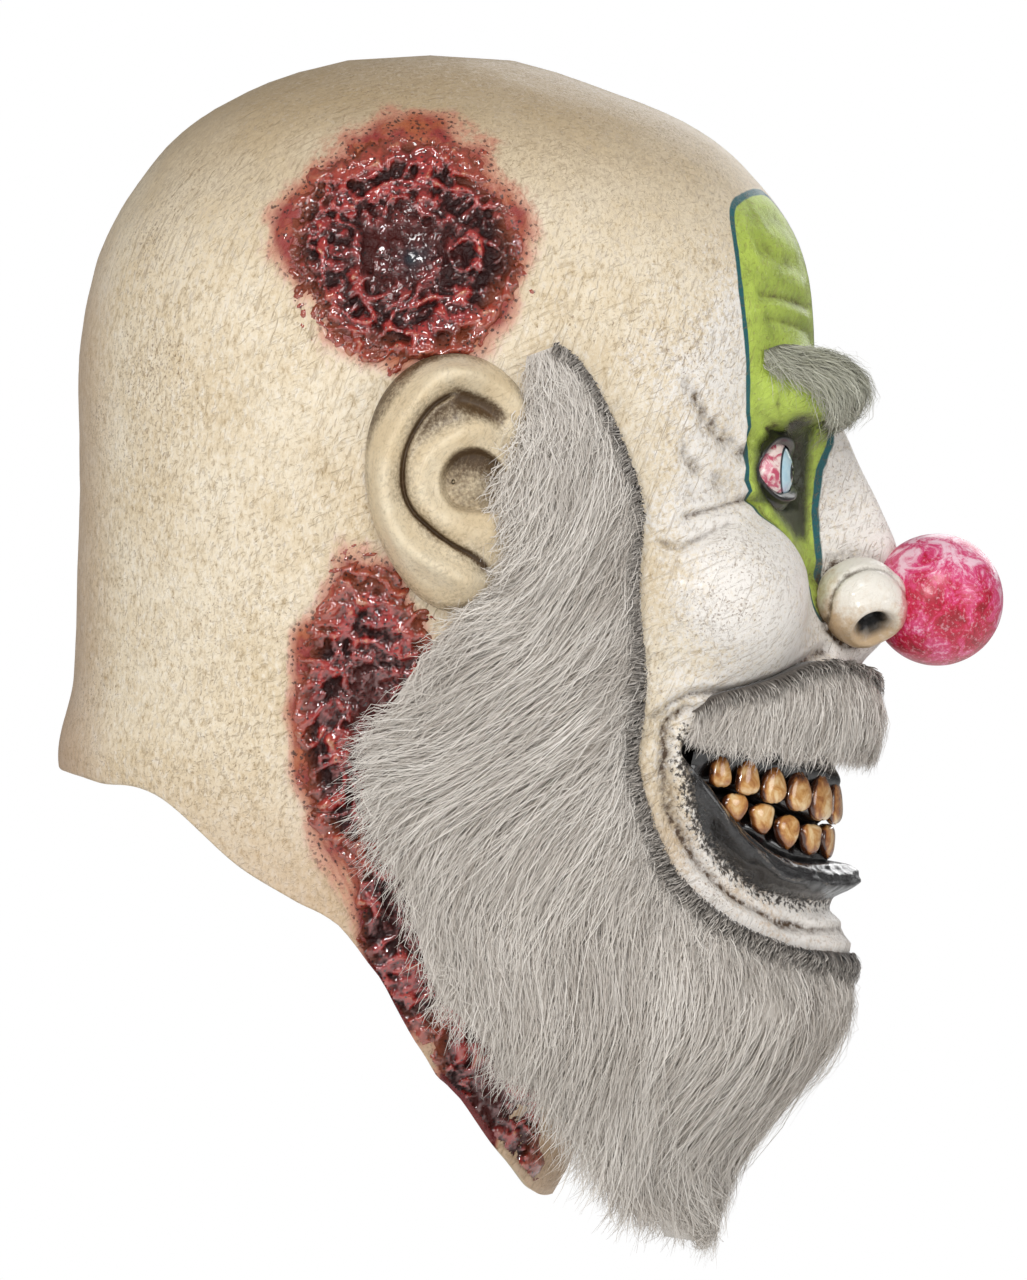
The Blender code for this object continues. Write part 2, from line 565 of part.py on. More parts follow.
def shell_solid(name, outer, inner, finish):
    """A closed solid between two grids of the same size."""
    columns, rows = outer.shape[:2]
    count = columns * rows
    points = np.vstack([outer.reshape(-1, 3), inner.reshape(-1, 3)])
    faces = grid_faces(columns, rows, False)
    faces += [tuple(reversed(face)) for face in grid_faces(columns, rows, False, count)]
    edge = [i * rows for i in range(columns)]
    edge += [(columns - 1) * rows + j for j in range(1, rows)]
    edge += [i * rows + rows - 1 for i in range(columns - 2, -1, -1)]
    edge += [j for j in range(rows - 2, 0, -1)]
    for a, b in zip(edge, edge[1:] + edge[:1], strict=True):
        faces.append((a, b, b + count, a + count))
    return add_object(name, points, faces, finish)


def mirrored_shares(count):
    """Shares from 1 at the left end through 0 in the middle to 1 at the right, with their signs."""
    signed = np.linspace(-1, 1, count)
    return np.abs(signed), np.sign(signed)


def locks(along, count):
    """Rounded ridges side by side, from 0 between two locks to 1 on their backs."""
    return np.abs(np.cos(math.pi * count * along))


def tail_point(angle, fall):
    """A point of the beard's free part below the chin, on its own rounded sections."""
    middle = curve(fall, column(BEARD_TAILS, "fall"), column(BEARD_TAILS, "middle"))
    front = curve(fall, column(BEARD_TAILS, "fall"), column(BEARD_TAILS, "front"))
    half = curve(fall, column(BEARD_TAILS, "fall"), column(BEARD_TAILS, "half"))
    points = place(half * np.sin(angle), middle + (front - middle) * np.cos(angle), BEARD[0].face_drop)
    points[..., 2] -= fall * BEARD_HANG
    return points


def add_beard():
    """Fur strip from sideburn to sideburn, with ridged locks and a tail that hangs below the chin."""
    share, sign = mirrored_shares(BEARD_COLUMNS + 1)
    step = share * (len(BEARD) - 1)
    index = np.arange(len(BEARD))
    down = np.linspace(0, 1, BEARD_ROWS)[None, :]

    def edge(name):
        return curve(step, index, column(BEARD, name))[:, None]

    angle = edge("face_angle") + (edge("tip_angle") - edge("face_angle")) * down
    angle = np.radians(angle) * sign[:, None]
    drop = edge("face_drop") + (edge("tip_drop") - edge("face_drop")) * down
    lock = locks(share, BEARD_LOCKS)[:, None]
    fall = edge("fall") * down * (0.93 + 0.07 * lock)
    on_skin = head(angle, row_at(np.minimum(drop + fall * BEARD_HANG / MASK_HEIGHT, 1)), recesses=False)
    hanging = tail_point(angle, fall)
    free = plateau(1 - fall / 0.22, 1.0)[..., None]
    body = np.sin(math.pi * np.clip(down * 0.8 + 0.2, 0, 1)) ** 0.5
    thick = edge("thick") * (0.35 + 0.65 * body) * (0.65 + 0.35 * lock)
    skin_normal = normals_of(on_skin, False)
    tail_normal = normals_of(hanging, False)
    fur = on_skin + skin_normal * (thick * BEARD_THICKNESS)[..., None]
    outer = fur * (1 - free) + (hanging + tail_normal * (thick * BEARD_THICKNESS * 0.4)[..., None]) * free
    under = on_skin - skin_normal * WALL
    behind = hanging - tail_normal * (BEARD_TAIL * (1.05 - 0.40 * down))[..., None]
    inner = under * (1 - free) + behind * free
    return shell_solid("beard", outer, inner, "fur")


def add_pad(name, table, columns, rows, thickness, lock_count, side=None):
    """A patch of fur over the skin. It spans both sides, or one side if a side is given."""
    if side is None:
        share, sign = mirrored_shares(columns)
    else:
        share, sign = np.linspace(0, 1, columns), np.full(columns, side)
    step, index = share * (len(table) - 1), np.arange(len(table))
    down = np.linspace(0, 1, rows)[None, :]
    upper = curve(step, index, column(table, "upper"))[:, None]
    lower = curve(step, index, column(table, "lower"))[:, None]
    angle = np.radians(curve(step, index, column(table, "angle")) * sign)[:, None] + 0 * down
    skin = head(angle, row_at(upper + (lower - upper) * down), recesses=False)
    outward = np.stack([np.sin(angle), np.cos(angle), 0 * angle], -1)
    lock = locks(share, lock_count)[:, None]
    body = 0.35 + 0.65 * np.sin(math.pi * (0.20 + 0.70 * down))
    thick = thickness * curve(step, index, column(table, "thick"))[:, None] * body * (0.75 + 0.25 * lock)
    outer = skin + outward * (thick + FIT_GAP)[..., None]
    return shell_solid(name, outer, skin - outward * PAD_ROOT, "fur")


def arch_point(angle, drop, depth):
    """A point of the tooth arch, a given depth below the lips' line, and the outward direction."""
    row = row_at(drop)
    ahead = bare_head(angle + 1e-3, row) - bare_head(angle - 1e-3, row)
    outward = np.stack([ahead[..., 1], -ahead[..., 0], np.zeros_like(ahead[..., 0])], -1)
    outward = -outward / np.linalg.norm(outward, axis=-1, keepdims=True)
    return bare_head(angle, row) - outward * np.asarray(depth)[..., None], outward


def add_gum(name, teeth, length, above):
    """A ridge of gum behind one row of teeth, above or below the bite."""
    reach = math.radians(teeth[-1].angle * 1.04)
    angle = np.linspace(-reach, reach, 19)
    middle = curve(np.degrees(np.abs(angle)), column(teeth, "angle"), column(teeth, "drop"))
    size = length * curve(np.degrees(np.abs(angle)), column(teeth, "angle"), column(teeth, "length"))
    tall = size / MASK_HEIGHT
    corners = [(-0.42, 0.3), (-0.75, 0.0), (0.42, 0.0), (0.42, 1.0), (-0.75, 1.0)]
    grid = []
    for height, back in corners:
        drop = middle + above * height * tall
        point, outward = arch_point(angle, drop, GUM_DEPTH + back * GUM_THICKNESS + 0 * angle)
        grid.append(point)
    ring = np.stack(grid, 1)
    ends = [list(range(len(corners))), [18 * len(corners) + j for j in range(len(corners))]]
    faces = []
    for i in range(18):
        for j in range(len(corners)):
            k = (j + 1) % len(corners)
            base = i * len(corners)
            faces.append((base + j, base + k, base + len(corners) + k, base + len(corners) + j))
    return add_object(name, ring.reshape(-1, 3), faces + ends, "gum")


def add_tooth(name, tooth, side, length, above):
    """One tapered, rounded tooth in front of its gum."""
    angle = np.array(math.radians(tooth.angle) * side)
    depth = GUM_DEPTH - PIECE_GAP - TOOTH_THICKNESS / 2
    centre, outward = arch_point(angle, np.array(tooth.drop), depth)
    across = np.cross(outward, [0, 0, 1])
    half = [TOOTH_WIDTH * tooth.width / 2, TOOTH_THICKNESS / 2, length * tooth.length / 2]
    turn = np.linspace(0, 2 * math.pi, 8, endpoint=False)[:, None]
    level = np.array([-0.85, 0.1, 0.85])[None, :]
    girth = np.array([0.66, 1.0, 0.72])[None, :]
    root = np.array([0, 0, above])
    grid = (
        centre
        + across * (half[0] * girth * np.cos(turn))[..., None]
        + outward * (half[1] * girth * np.sin(turn))[..., None]
        - root * (half[2] * level * np.ones_like(turn))[..., None]
    )
    tips = centre + np.outer([half[2], -half[2]], root)
    points, faces = closed_grid(grid, tips[0], tips[1])
    return add_object(name, points, faces, "tooth")


def build():
    for thing in list(bpy.data.objects):
        bpy.data.objects.remove(thing)
    skin = add_skin()
    seat = solid_head("seat_cutter", FIT_GAP)
    for name, side in (("right", -1), ("left", 1)):
        boolean(skin, add_ear("ear_" + name, side), "UNION")
        boolean(skin, add_nose_wing("nose_wing_" + name, side), "UNION")
        boolean(skin, nostril_cutter(side), "DIFFERENCE")
        eye = add_ball("eye_" + name, place(side * EYE_PLACE[0], *EYE_PLACE[1:]), EYE_DIAMETER, 12, 8, "eye")
        boolean(eye, seat, "DIFFERENCE")
        brow = add_pad("brow_" + name, BROW_HAIR, 7, 4, BROW_THICKNESS, BROW_LOCKS, side)
        boolean(brow, seat, "DIFFERENCE")
    nose = add_ball("nose_ball", place(*NOSE_PLACE), NOSE_DIAMETER, 14, 9, "red_paint")
    boolean(nose, seat, "DIFFERENCE")
    for name, side in (("right", -1), ("left", 1)):
        boolean(nose, add_nose_wing("nose_wing_seat_" + name, side, FIT_GAP), "DIFFERENCE")
    moustache = add_pad("moustache", MOUSTACHE, 21, 4, MOUSTACHE_THICKNESS, MOUSTACHE_LOCKS)
    boolean(moustache, seat, "DIFFERENCE")
    beard = add_beard()
    boolean(beard, seat, "DIFFERENCE")
    for name, side in (("right", -1), ("left", 1)):
        boolean(beard, add_ear("ear_seat_" + name, side, FIT_GAP), "DIFFERENCE")
    for row_name, teeth, length, above in (
        ("upper", UPPER_TEETH, UPPER_TOOTH_LENGTH, 1),
        ("lower", LOWER_TEETH, LOWER_TOOTH_LENGTH, -1),
    ):
        gum = add_gum(row_name + "_gum", teeth, length, above)
        boolean(gum, seat, "DIFFERENCE")
        for side_name, side in (("right", -1), ("left", 1)):
            for number, tooth in enumerate(teeth, 1):
                add_tooth(f"{row_name}_tooth_{side_name}_{number}", tooth, side, length, above)


build()
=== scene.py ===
import json
import math
import bpy
import numpy as np
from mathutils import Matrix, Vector
from mathutils.bvhtree import BVHTree

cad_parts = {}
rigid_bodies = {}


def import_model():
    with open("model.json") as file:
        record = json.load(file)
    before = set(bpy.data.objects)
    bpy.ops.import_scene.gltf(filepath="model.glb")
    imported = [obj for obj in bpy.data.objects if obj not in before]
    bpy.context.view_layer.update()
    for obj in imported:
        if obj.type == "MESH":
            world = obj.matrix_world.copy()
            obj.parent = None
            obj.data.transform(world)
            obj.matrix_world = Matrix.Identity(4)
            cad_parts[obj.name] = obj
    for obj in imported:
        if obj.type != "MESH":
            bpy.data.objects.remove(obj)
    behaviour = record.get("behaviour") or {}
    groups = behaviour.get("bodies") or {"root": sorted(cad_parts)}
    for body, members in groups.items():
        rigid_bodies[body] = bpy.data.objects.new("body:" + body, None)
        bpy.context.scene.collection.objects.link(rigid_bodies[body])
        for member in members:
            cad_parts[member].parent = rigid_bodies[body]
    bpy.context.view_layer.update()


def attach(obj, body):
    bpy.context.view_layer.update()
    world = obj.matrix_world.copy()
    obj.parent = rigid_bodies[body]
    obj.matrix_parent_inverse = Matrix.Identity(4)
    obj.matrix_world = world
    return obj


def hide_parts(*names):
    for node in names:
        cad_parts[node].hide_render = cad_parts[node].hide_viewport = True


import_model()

# Over-the-head clown mask. Metres, the face looks along -Y, +Z is up, the origin is inside the crown.
scene = bpy.context.scene
print("frame loaded")


# helpers
def toLinear(hexColour):  # sRGB hex to a linear RGBA value
    parts = [int(hexColour[i:i + 2], 16) / 255 for i in (0, 2, 4)]
    return tuple(c / 12.92 if c <= 0.04045 else ((c + 0.055) / 1.055) ** 2.4 for c in parts) + (1.0,)


# settings that many nodes share
smoothStep, mixColour = {"interpolation_type": "SMOOTHSTEP"}, {"data_type": "RGBA"}
multiply, multiplyAdd, adding, larger = (
    {"operation": name} for name in ("MULTIPLY", "MULTIPLY_ADD", "ADD", "MAXIMUM"))
multiplyClamped = {"operation": "MULTIPLY", "use_clamp": True}


def setInputs(tree, node, inputs):  # a value, a hex colour or a link for each input
    for key, value in inputs.items():
        if isinstance(value, bpy.types.Node):
            mixed = value.bl_idname == "ShaderNodeMix" and value.data_type == "RGBA"
            value = value.outputs[2 if mixed else 0]
        if isinstance(value, bpy.types.NodeSocket):
            tree.links.new(value, node.inputs[key])
        else:
            node.inputs[key].default_value = toLinear(value) if isinstance(value, str) else value


def addNode(tree, kind, settings=None, inputs=None):  # one node with its settings, values and links
    node = tree.nodes.new("ShaderNode" + kind)
    for key, value in (settings or {}).items():
        setattr(node, key, value)
    setInputs(tree, node, inputs or {})
    return node


def newMaterial(name, settings):  # empty tree with a Principled shader and Object coordinates
    material = bpy.data.materials.new(name)
    material.use_nodes = True
    tree = material.node_tree
    tree.nodes.clear()
    shader = addNode(tree, "BsdfPrincipled", {}, settings)
    addNode(tree, "OutputMaterial", {}, {0: shader})
    coords = addNode(tree, "TexCoord").outputs["Object"]
    return material, tree, shader, coords


def fillRamp(ramp, stops):  # a colour ramp's stops, (position, hex colour)
    elements = ramp.color_ramp.elements
    for position, hexColour in stops:
        element = elements.new(position)
        element.color = toLinear(hexColour)
    elements.remove(elements[0])
    elements.remove(elements[-1])


def gridFaces(columns, rows, wrap=False):  # quads of a grid, point (i, j) is i * rows + j
    i, j = np.meshgrid(np.arange(columns if wrap else columns - 1), np.arange(rows - 1), indexing="ij")
    k = (i + 1) % columns
    return np.stack([i * rows + j, k * rows + j, k * rows + j + 1, i * rows + j + 1], -1).reshape(-1, 4)


def poleCaps(columns, rows):
    # triangles that close the first and the last row of a wrapped grid, to the two points that follow it
    around = np.arange(columns)
    following = (around + 1) % columns
    pole = np.full(columns, columns * rows)
    return np.vstack([np.stack([following * rows, around * rows, pole], -1),
                      np.stack([around * rows + rows - 1, following * rows + rows - 1, pole + 1], -1)])


def world(points):  # (side, forward, up) to Blender, where the face looks along -Y
    return np.asarray(points) * [1, -1, 1]


def addPiece(name, points, faces, material, attributes=None, replaces=()):
    # points (n, 3) as side, forward, up; faces as one or more arrays of equal-sided faces; attributes one value a point
    groups = faces if isinstance(faces, list) else [faces]
    loops = np.concatenate([g.reshape(-1) for g in groups]).astype(np.int32)
    sizes = np.concatenate([np.full(len(g), g.shape[1]) for g in groups]).astype(np.int32)
    starts = np.concatenate([[0], np.cumsum(sizes)[:-1]]).astype(np.int32)
    mesh = bpy.data.meshes.new(name)
    mesh.vertices.add(len(points))
    mesh.vertices.foreach_set("co", np.asarray(world(points), np.float32).reshape(-1))
    mesh.loops.add(len(loops))
    mesh.loops.foreach_set("vertex_index", loops)
    mesh.polygons.add(len(sizes))
    mesh.polygons.foreach_set("loop_start", starts)
    mesh.polygons.foreach_set("loop_total", sizes)
    for key, values in (attributes or {}).items():
        layer = mesh.attributes.new(key, "FLOAT", "POINT")
        layer.data.foreach_set("value", np.asarray(values, np.float32).reshape(-1))
    mesh.update(calc_edges=True)
    mesh.validate()
    mesh.shade_smooth()
    mesh.materials.append(material)
    piece = bpy.data.objects.new(name, mesh)
    scene.collection.objects.link(piece)
    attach(piece, "root")
    if replaces:
        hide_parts(*replaces)
    return piece


def outwards(points, faces, centre):  # turns all faces if most of them look towards the centre
    points, centre, total = world(points), world(centre), 0
    for group in faces:
        corners = points[group[:, :3]]
        normal = np.cross(corners[:, 1] - corners[:, 0], corners[:, 2] - corners[:, 0])
        total += np.sum(normal * (corners.mean(1) - centre))
    return faces if total > 0 else [group[:, ::-1] for group in faces]


def smooth(x, low, high):  # 0 below low, 1 above high, 3t^2 - 2t^3 between
    t = np.clip((x - low) / (high - low), 0, 1)
    return t * t * (3 - 2 * t)


def normalised(vectors):
    return vectors / np.maximum(np.linalg.norm(vectors, axis=-1, keepdims=True), 1e-9)


def signedPower(value, power):
    return np.sign(value) * np.abs(value) ** power


def bell(x, width):  # 1 at 0, falling to 1/e at the width
    return np.exp(-((x / width) ** 2))


def hashed(cells, seed):  # a fixed pseudo-random number from 0 to 1 for each whole-number cell
    x, y, z = (cells[..., k].astype(np.int64) for k in range(3))
    n = (x * 73856093) ^ (y * 19349663) ^ (z * 83492791) ^ (seed * 2654435761)
    n = (n ^ (n >> 13)) * 1274126177
    return ((n ^ (n >> 16)) & 0xFFFFFF) / 0xFFFFFF


def valueNoise(points, size, seed=0):
    # smooth noise from -1 to 1: the corner numbers of each cell of the given size, blended by 3t^2 - 2t^3
    p = np.asarray(points) / size
    cell = np.floor(p).astype(np.int64)
    t = p - cell
    t = t * t * (3 - 2 * t)
    total = 0
    for corner in np.ndindex(2, 2, 2):
        weight = np.prod(np.where(np.array(corner) == 1, t, 1 - t), axis=-1)
        total = total + weight * hashed(cell + np.array(corner), seed)
    return total * 2 - 1


def layeredNoise(points, size, seed=0, layers=3):  # each layer half as large and half as strong
    return (sum(valueNoise(points, size / 2 ** k, seed + k) / 2 ** k for k in range(layers))
            / (2 - 0.5 ** (layers - 1)))


def cellDistance(points, size, seed=0):
    # distance to the nearest and second nearest of one jittered seed per cell, in cells
    p = np.asarray(points) / size
    cell = np.floor(p).astype(np.int64)
    near = np.full(p.shape[:-1], 9.0)
    second = near.copy()
    for step in np.ndindex(3, 3, 3):
        other = cell + np.array(step) - 1
        spot = other + np.stack([hashed(other, seed + k) for k in range(3)], -1)
        d = np.linalg.norm(p - spot, axis=-1)
        second = np.minimum(second, np.maximum(near, d))
        near = np.minimum(near, d)
    return near, second


def curve(x, xs, ys):  # smooth line through (xs, ys) with the slopes of the neighbouring points
    xs, ys = np.asarray(xs, float), np.asarray(ys, float)
    slope = np.gradient(ys, xs)
    i = np.clip(np.searchsorted(xs, x) - 1, 0, len(xs) - 2)
    step = xs[i + 1] - xs[i]
    t = np.clip((x - xs[i]) / step, 0, 1)
    start = (1 + 2 * t) * (1 - t) ** 2 * ys[i] + t * (1 - t) ** 2 * step * slope[i]
    return start + t * t * (3 - 2 * t) * ys[i + 1] + t * t * (t - 1) * step * slope[i + 1]


# head form, the same tables as the solids
head = {
    "height": 0.353, "length": 0.2265, "width": 0.191, "wall": 0.003,
    # drop, back, front, half, middle, front power, back power: shares of the three sizes
    "sections": np.array([
        [0.0000, -0.000, 0.000, 0.000, 0.000, 2.00, 2.0], [0.0057, -0.115, 0.115, 0.118, 0.000, 2.00, 2.0],
        [0.0255, -0.225, 0.216, 0.232, -0.010, 2.00, 2.0], [0.0595, -0.322, 0.349, 0.340, -0.020, 2.00, 2.1],
        [0.1050, -0.390, 0.439, 0.410, -0.030, 2.05, 2.1], [0.1700, -0.449, 0.508, 0.462, -0.040, 2.10, 2.2],
        [0.2580, -0.479, 0.526, 0.495, -0.044, 2.15, 2.2], [0.3630, -0.479, 0.512, 0.500, -0.044, 2.10, 2.2],
        [0.4620, -0.483, 0.525, 0.487, -0.044, 2.00, 2.2], [0.5470, -0.488, 0.578, 0.466, -0.044, 1.85, 2.2],
        [0.6230, -0.508, 0.578, 0.442, -0.044, 1.80, 2.2], [0.7030, -0.459, 0.559, 0.415, -0.035, 1.80, 2.1],
        [0.7880, -0.389, 0.560, 0.378, -0.010, 1.80, 2.0], [0.8360, -0.344, 0.505, 0.345, 0.000, 1.85, 2.0],
        [0.8725, -0.309, 0.371, 0.315, 0.005, 1.95, 2.0], [0.9290, -0.243, 0.238, 0.275, 0.005, 2.00, 2.0],
        [1.0000, -0.185, 0.168, 0.240, 0.000, 2.00, 2.0]]),
    # neck edge: angle from the face in degrees, drop
    "rim": np.array([[0, 1.0], [40, 0.990], [55, 0.970], [66, 0.952], [80, 0.918], [90, 0.885], [97, 0.835],
                     [104, 0.765], [112, 0.738], [121, 0.708], [131, 0.656], [150, 0.637], [180, 0.623]]),
    # swellings: side, forward, drop, wide, deep, tall, blend
    "swellings": [(0.141, 0.460, 0.295, 0.131, 0.118, 0.038, 0.006),
                  (0.232, 0.385, 0.474, 0.172, 0.128, 0.074, 0.016),
                  (0.000, 0.455, 0.776, 0.136, 0.118, 0.040, 0.006)],
    # nose ridge: drop, push, half width
    "noseRidge": np.array([[0.290, 0, 0.060], [0.326, 0.048, 0.060], [0.363, 0.078, 0.056], [0.405, 0.108, 0.054],
                           [0.435, 0.122, 0.056], [0.476, 0.105, 0.060], [0.512, 0.065, 0.060], [0.535, 0.018, 0.060],
                           [0.555, 0, 0.060]]),
    # lips: angle, upper line, lower line, how open
    "mouth": np.array([[0, 0.606, 0.711, 1], [15, 0.606, 0.711, 1], [25, 0.605, 0.708, 1], [33, 0.603, 0.696, 1],
                       [40, 0.600, 0.672, 1], [45, 0.598, 0.643, 0.7], [50, 0.599, 0.617, 0], [57, 0.602, 0.660, 0],
                       [66, 0.606, 0.706, 0], [72, 0.606, 0.706, 0], [80, 0.606, 0.706, 0], [180, 0.606, 0.706, 0]]),
    "smileFold": np.array([[14, 0.520], [30, 0.532], [46, 0.560], [56, 0.610], [52, 0.670], [42, 0.715], [25, 0.745],
                           [0, 0.752]]),
    "eye": (0.172, 0.432, 0.367), "eyeRadius": 0.0155, "socketReach": (0.086, 0.036), "socketDepth": 0.013,
    "noseWing": (0.072, 0.588, 0.480),
    # wounds on the right side: forward, drop, long, tall
    "wounds": [(-0.034, 0.176, 0.146, 0.094), (-0.080, 0.585, 0.090, 0.118), (-0.020, 0.742, 0.074, 0.111),
               (0.080, 0.906, 0.070, 0.108)],
    "lipRoll": 0.005, "mouthDepth": 0.015, "mouthEdge": 0.0035,
    # rows of the grid: from one drop to the next in equal steps
    "bands": [(0.006, 2), (0.0255, 4), (0.0595, 6), (0.105, 9), (0.195, 18), (0.245, 13), (0.400, 54), (0.520, 34),
              (0.606, 8), (0.616, 26), (0.696, 8), (0.706, 22), (0.765, 36), (1.0, 0)],
    "columns": 380, "innerStep": 4,
}
# the flat map of the skin: millimetres for a degree round the head, and for a drop of 1
degreeMm, dropMm = math.radians(1) * 95, 353


def sectionColumn(k, row):  # one column of the sections at a fractional row, the crown rounded by a mirrored row
    values = head["sections"][:, k]
    mirrored = -values[1] if k in (1, 2, 3) else values[1]
    return curve(row, np.arange(-1, len(values)), [mirrored, *values])


def rowAt(drop):
    rows = np.linspace(0, len(head["sections"]) - 1, 1601)
    return np.interp(drop, sectionColumn(0, rows), rows)


def place(side, forward, drop):  # shares to (side, forward, up) in metres
    return np.stack(np.broadcast_arrays(side * head["width"], forward * head["length"],
                                        head["wall"] - drop * head["height"]), -1)


def bareHead(angle, row):
    # superellipse sections: side = half |sin|^(2/p), forward = middle + (reach - middle) |cos|^(2/p)
    cos, sin = np.cos(angle), np.sin(angle)
    reach = np.where(cos > 0, sectionColumn(2, row), sectionColumn(1, row))
    middle = sectionColumn(4, row)
    power = 2 / np.where(cos > 0, sectionColumn(5, row), sectionColumn(6, row))
    side = sectionColumn(3, row) * signedPower(sin, power)
    return place(side, middle + (reach - middle) * np.abs(cos) ** power, sectionColumn(0, row))


def swell(points, swelling):
    # pushes points out to an ellipsoid: the larger of two reaches, blended over a few millimetres
    centre = place(*swelling[:3])
    radii = np.array([head["width"] * swelling[3], head["length"] * swelling[4], head["height"] * swelling[5]])
    away = points - centre
    away[..., 0] = np.abs(points[..., 0]) - centre[0]
    length = np.maximum(np.linalg.norm(away, axis=-1), 1e-6)
    ray = away / length[..., None]
    reach = 1 / np.linalg.norm(ray / radii, axis=-1)
    blend = swelling[6]
    mix = np.clip(0.5 + 0.5 * (reach - length) / blend, 0, 1)
    new = length * (1 - mix) + reach * mix + blend * mix * (1 - mix)
    moved = centre + ray * new[..., None]
    moved[..., 0] = np.maximum(moved[..., 0], 0) * np.sign(points[..., 0])
    if swelling[0] == 0:
        moved[..., 0] = ray[..., 0] * new * np.sign(points[..., 0])
    return moved


def plateau(distance, edge):  # 1 up to 1 - edge, smoothly 0 at 1
    return smooth(1 - distance, 0, edge)


def normalsOf(points, wrap):  # outward normals of a grid that runs round, then down
    step = np.roll(points, -1, 0) - np.roll(points, 1, 0) if wrap else np.gradient(points, axis=0)
    normal = np.cross(step, np.gradient(points, axis=1))
    return normal / np.maximum(np.linalg.norm(normal, axis=-1, keepdims=True), 1e-12)


def outwardOf(angle):
    return np.stack([np.sin(angle), np.cos(angle), np.zeros_like(angle)], -1)


def moulded(angle, row, recesses=True):
    # bare head + nose ridge exp(-(x/w)^2) + swellings + lip roll and groove - smile fold - recesses
    points = bareHead(angle, row)
    drop = sectionColumn(0, row)
    ridge = head["noseRidge"]
    push = curve(drop, ridge[:, 0], ridge[:, 1]) * head["length"]
    half = curve(drop, ridge[:, 0], ridge[:, 2]) * head["width"]
    inFront = np.cos(angle) > 0
    points[..., 1] += inFront * push * np.exp(-((points[..., 0] / half) ** 2))
    for swelling in head["swellings"]:
        points = np.where(inFront[..., None], swell(points, swelling), points)
    degrees = np.degrees(np.abs(angle))
    upper, lower, opened = (curve(degrees, head["mouth"][:, 0], head["mouth"][:, k]) for k in (1, 2, 3))
    lip = head["lipRoll"] / head["height"]
    roll = bell(drop - lower - lip, lip) * opened
    groove = bell(drop - lower - 2.6 * lip, lip) * opened
    steps, index = np.linspace(0, 7, 60), np.arange(8)
    foldLine = onMap(np.stack([curve(steps, index, head["smileFold"][:, k]) for k in (0, 1)], -1))
    fold = bell(lineDistance(degrees * degreeMm, drop * dropMm, foldLine), 4.6)
    points = points + outwardOf(angle) * (head["lipRoll"] * (roll - 0.6 * groove) - 0.0017 * fold)[..., None]
    if recesses:
        inside = np.minimum(drop - upper, lower - drop) * head["height"]
        deep = head["mouthDepth"] * opened * plateau(1 - inside / head["mouthEdge"], 1.0)
        points = points - outwardOf(angle) * deep[..., None]
        eye = place(*head["eye"])
        across = (np.abs(points[..., 0]) - eye[0]) / (head["socketReach"][0] * head["width"])
        down = (points[..., 2] - eye[2]) / (head["socketReach"][1] * head["height"])
        socket = head["socketDepth"] * plateau(np.hypot(across, down), 0.55) * inFront
        points = points - outwardOf(angle) * socket[..., None]
    return points


def lineDistance(u, v, line):
    # distance in mm from each point (u, v) to a line of points: the least over its straight segments
    least = np.full(np.shape(u), 1e3)
    for (a, b), (c, d) in zip(line[:-1], line[1:]):
        length = (c - a) ** 2 + (d - b) ** 2
        t = np.clip(((u - a) * (c - a) + (v - b) * (d - b)) / length, 0, 1)
        least = np.minimum(least, np.hypot(u - a - t * (c - a), v - b - t * (d - b)))
    return least


def insideDistance(u, v, outline):
    # signed mm to a closed outline, positive inside: the sign is the parity of edges crossed to the right
    closed = np.vstack([outline, outline[:1]])
    odd = np.zeros(np.shape(u), bool)
    for (a, b), (c, d) in zip(closed[:-1], closed[1:]):
        if b != d:
            odd ^= ((b > v) != (d > v)) & (u < (c - a) * (v - b) / (d - b) + a)
    return lineDistance(u, v, closed) * np.where(odd, 1, -1)


def onMap(pairs):  # (angle in degrees, drop) to the flat map in mm
    return np.array(pairs, float) * [degreeMm, dropMm]


def rounded(outline, steps=8):  # a closed outline made smooth: Catmull-Rom through its points
    p = np.asarray(outline)
    t = np.linspace(0, 1, steps, endpoint=False)[None, :, None]
    a, b, c, d = (np.roll(p, k, 0)[:, None, :] for k in (1, 0, -1, -2))
    return (0.5 * (2 * b + (c - a) * t + (2 * a - 5 * b + 4 * c - d) * t ** 2
                   + (3 * b - a - 3 * c + d) * t ** 3)).reshape(-1, 2)


def drawn(points):  # an open line made smooth, for lineDistance
    p = np.array(points, float)
    steps, index = np.linspace(0, len(p) - 1, 5 * len(p)), np.arange(len(p))
    return np.stack([curve(steps, index, p[:, k]) for k in (0, 1)], -1)


def sideShare(forward, up):
    # a point of the side view: its row, whether it is ahead of the middle line, its share of the reach, its power
    row = rowAt((head["wall"] - up) / head["height"])
    middle = sectionColumn(4, row) * head["length"]
    ahead = forward > middle
    reach = np.where(ahead, sectionColumn(2, row), sectionColumn(1, row)) * head["length"]
    power = np.where(ahead, sectionColumn(5, row), sectionColumn(6, row))
    return row, ahead, np.abs((forward - middle) / (reach - middle)), power


def sideSkin(side, forward, up, stand=0.0):  # points that stand off the bare head's side, found in the side view
    row, ahead, share, power = sideShare(forward, up)
    half = sectionColumn(3, row) * head["width"] * (1 - np.clip(share, 0, 0.995) ** power) ** (1 / power)
    return np.stack(np.broadcast_arrays(side * (half + stand), forward, up), -1)


print("head form ready")

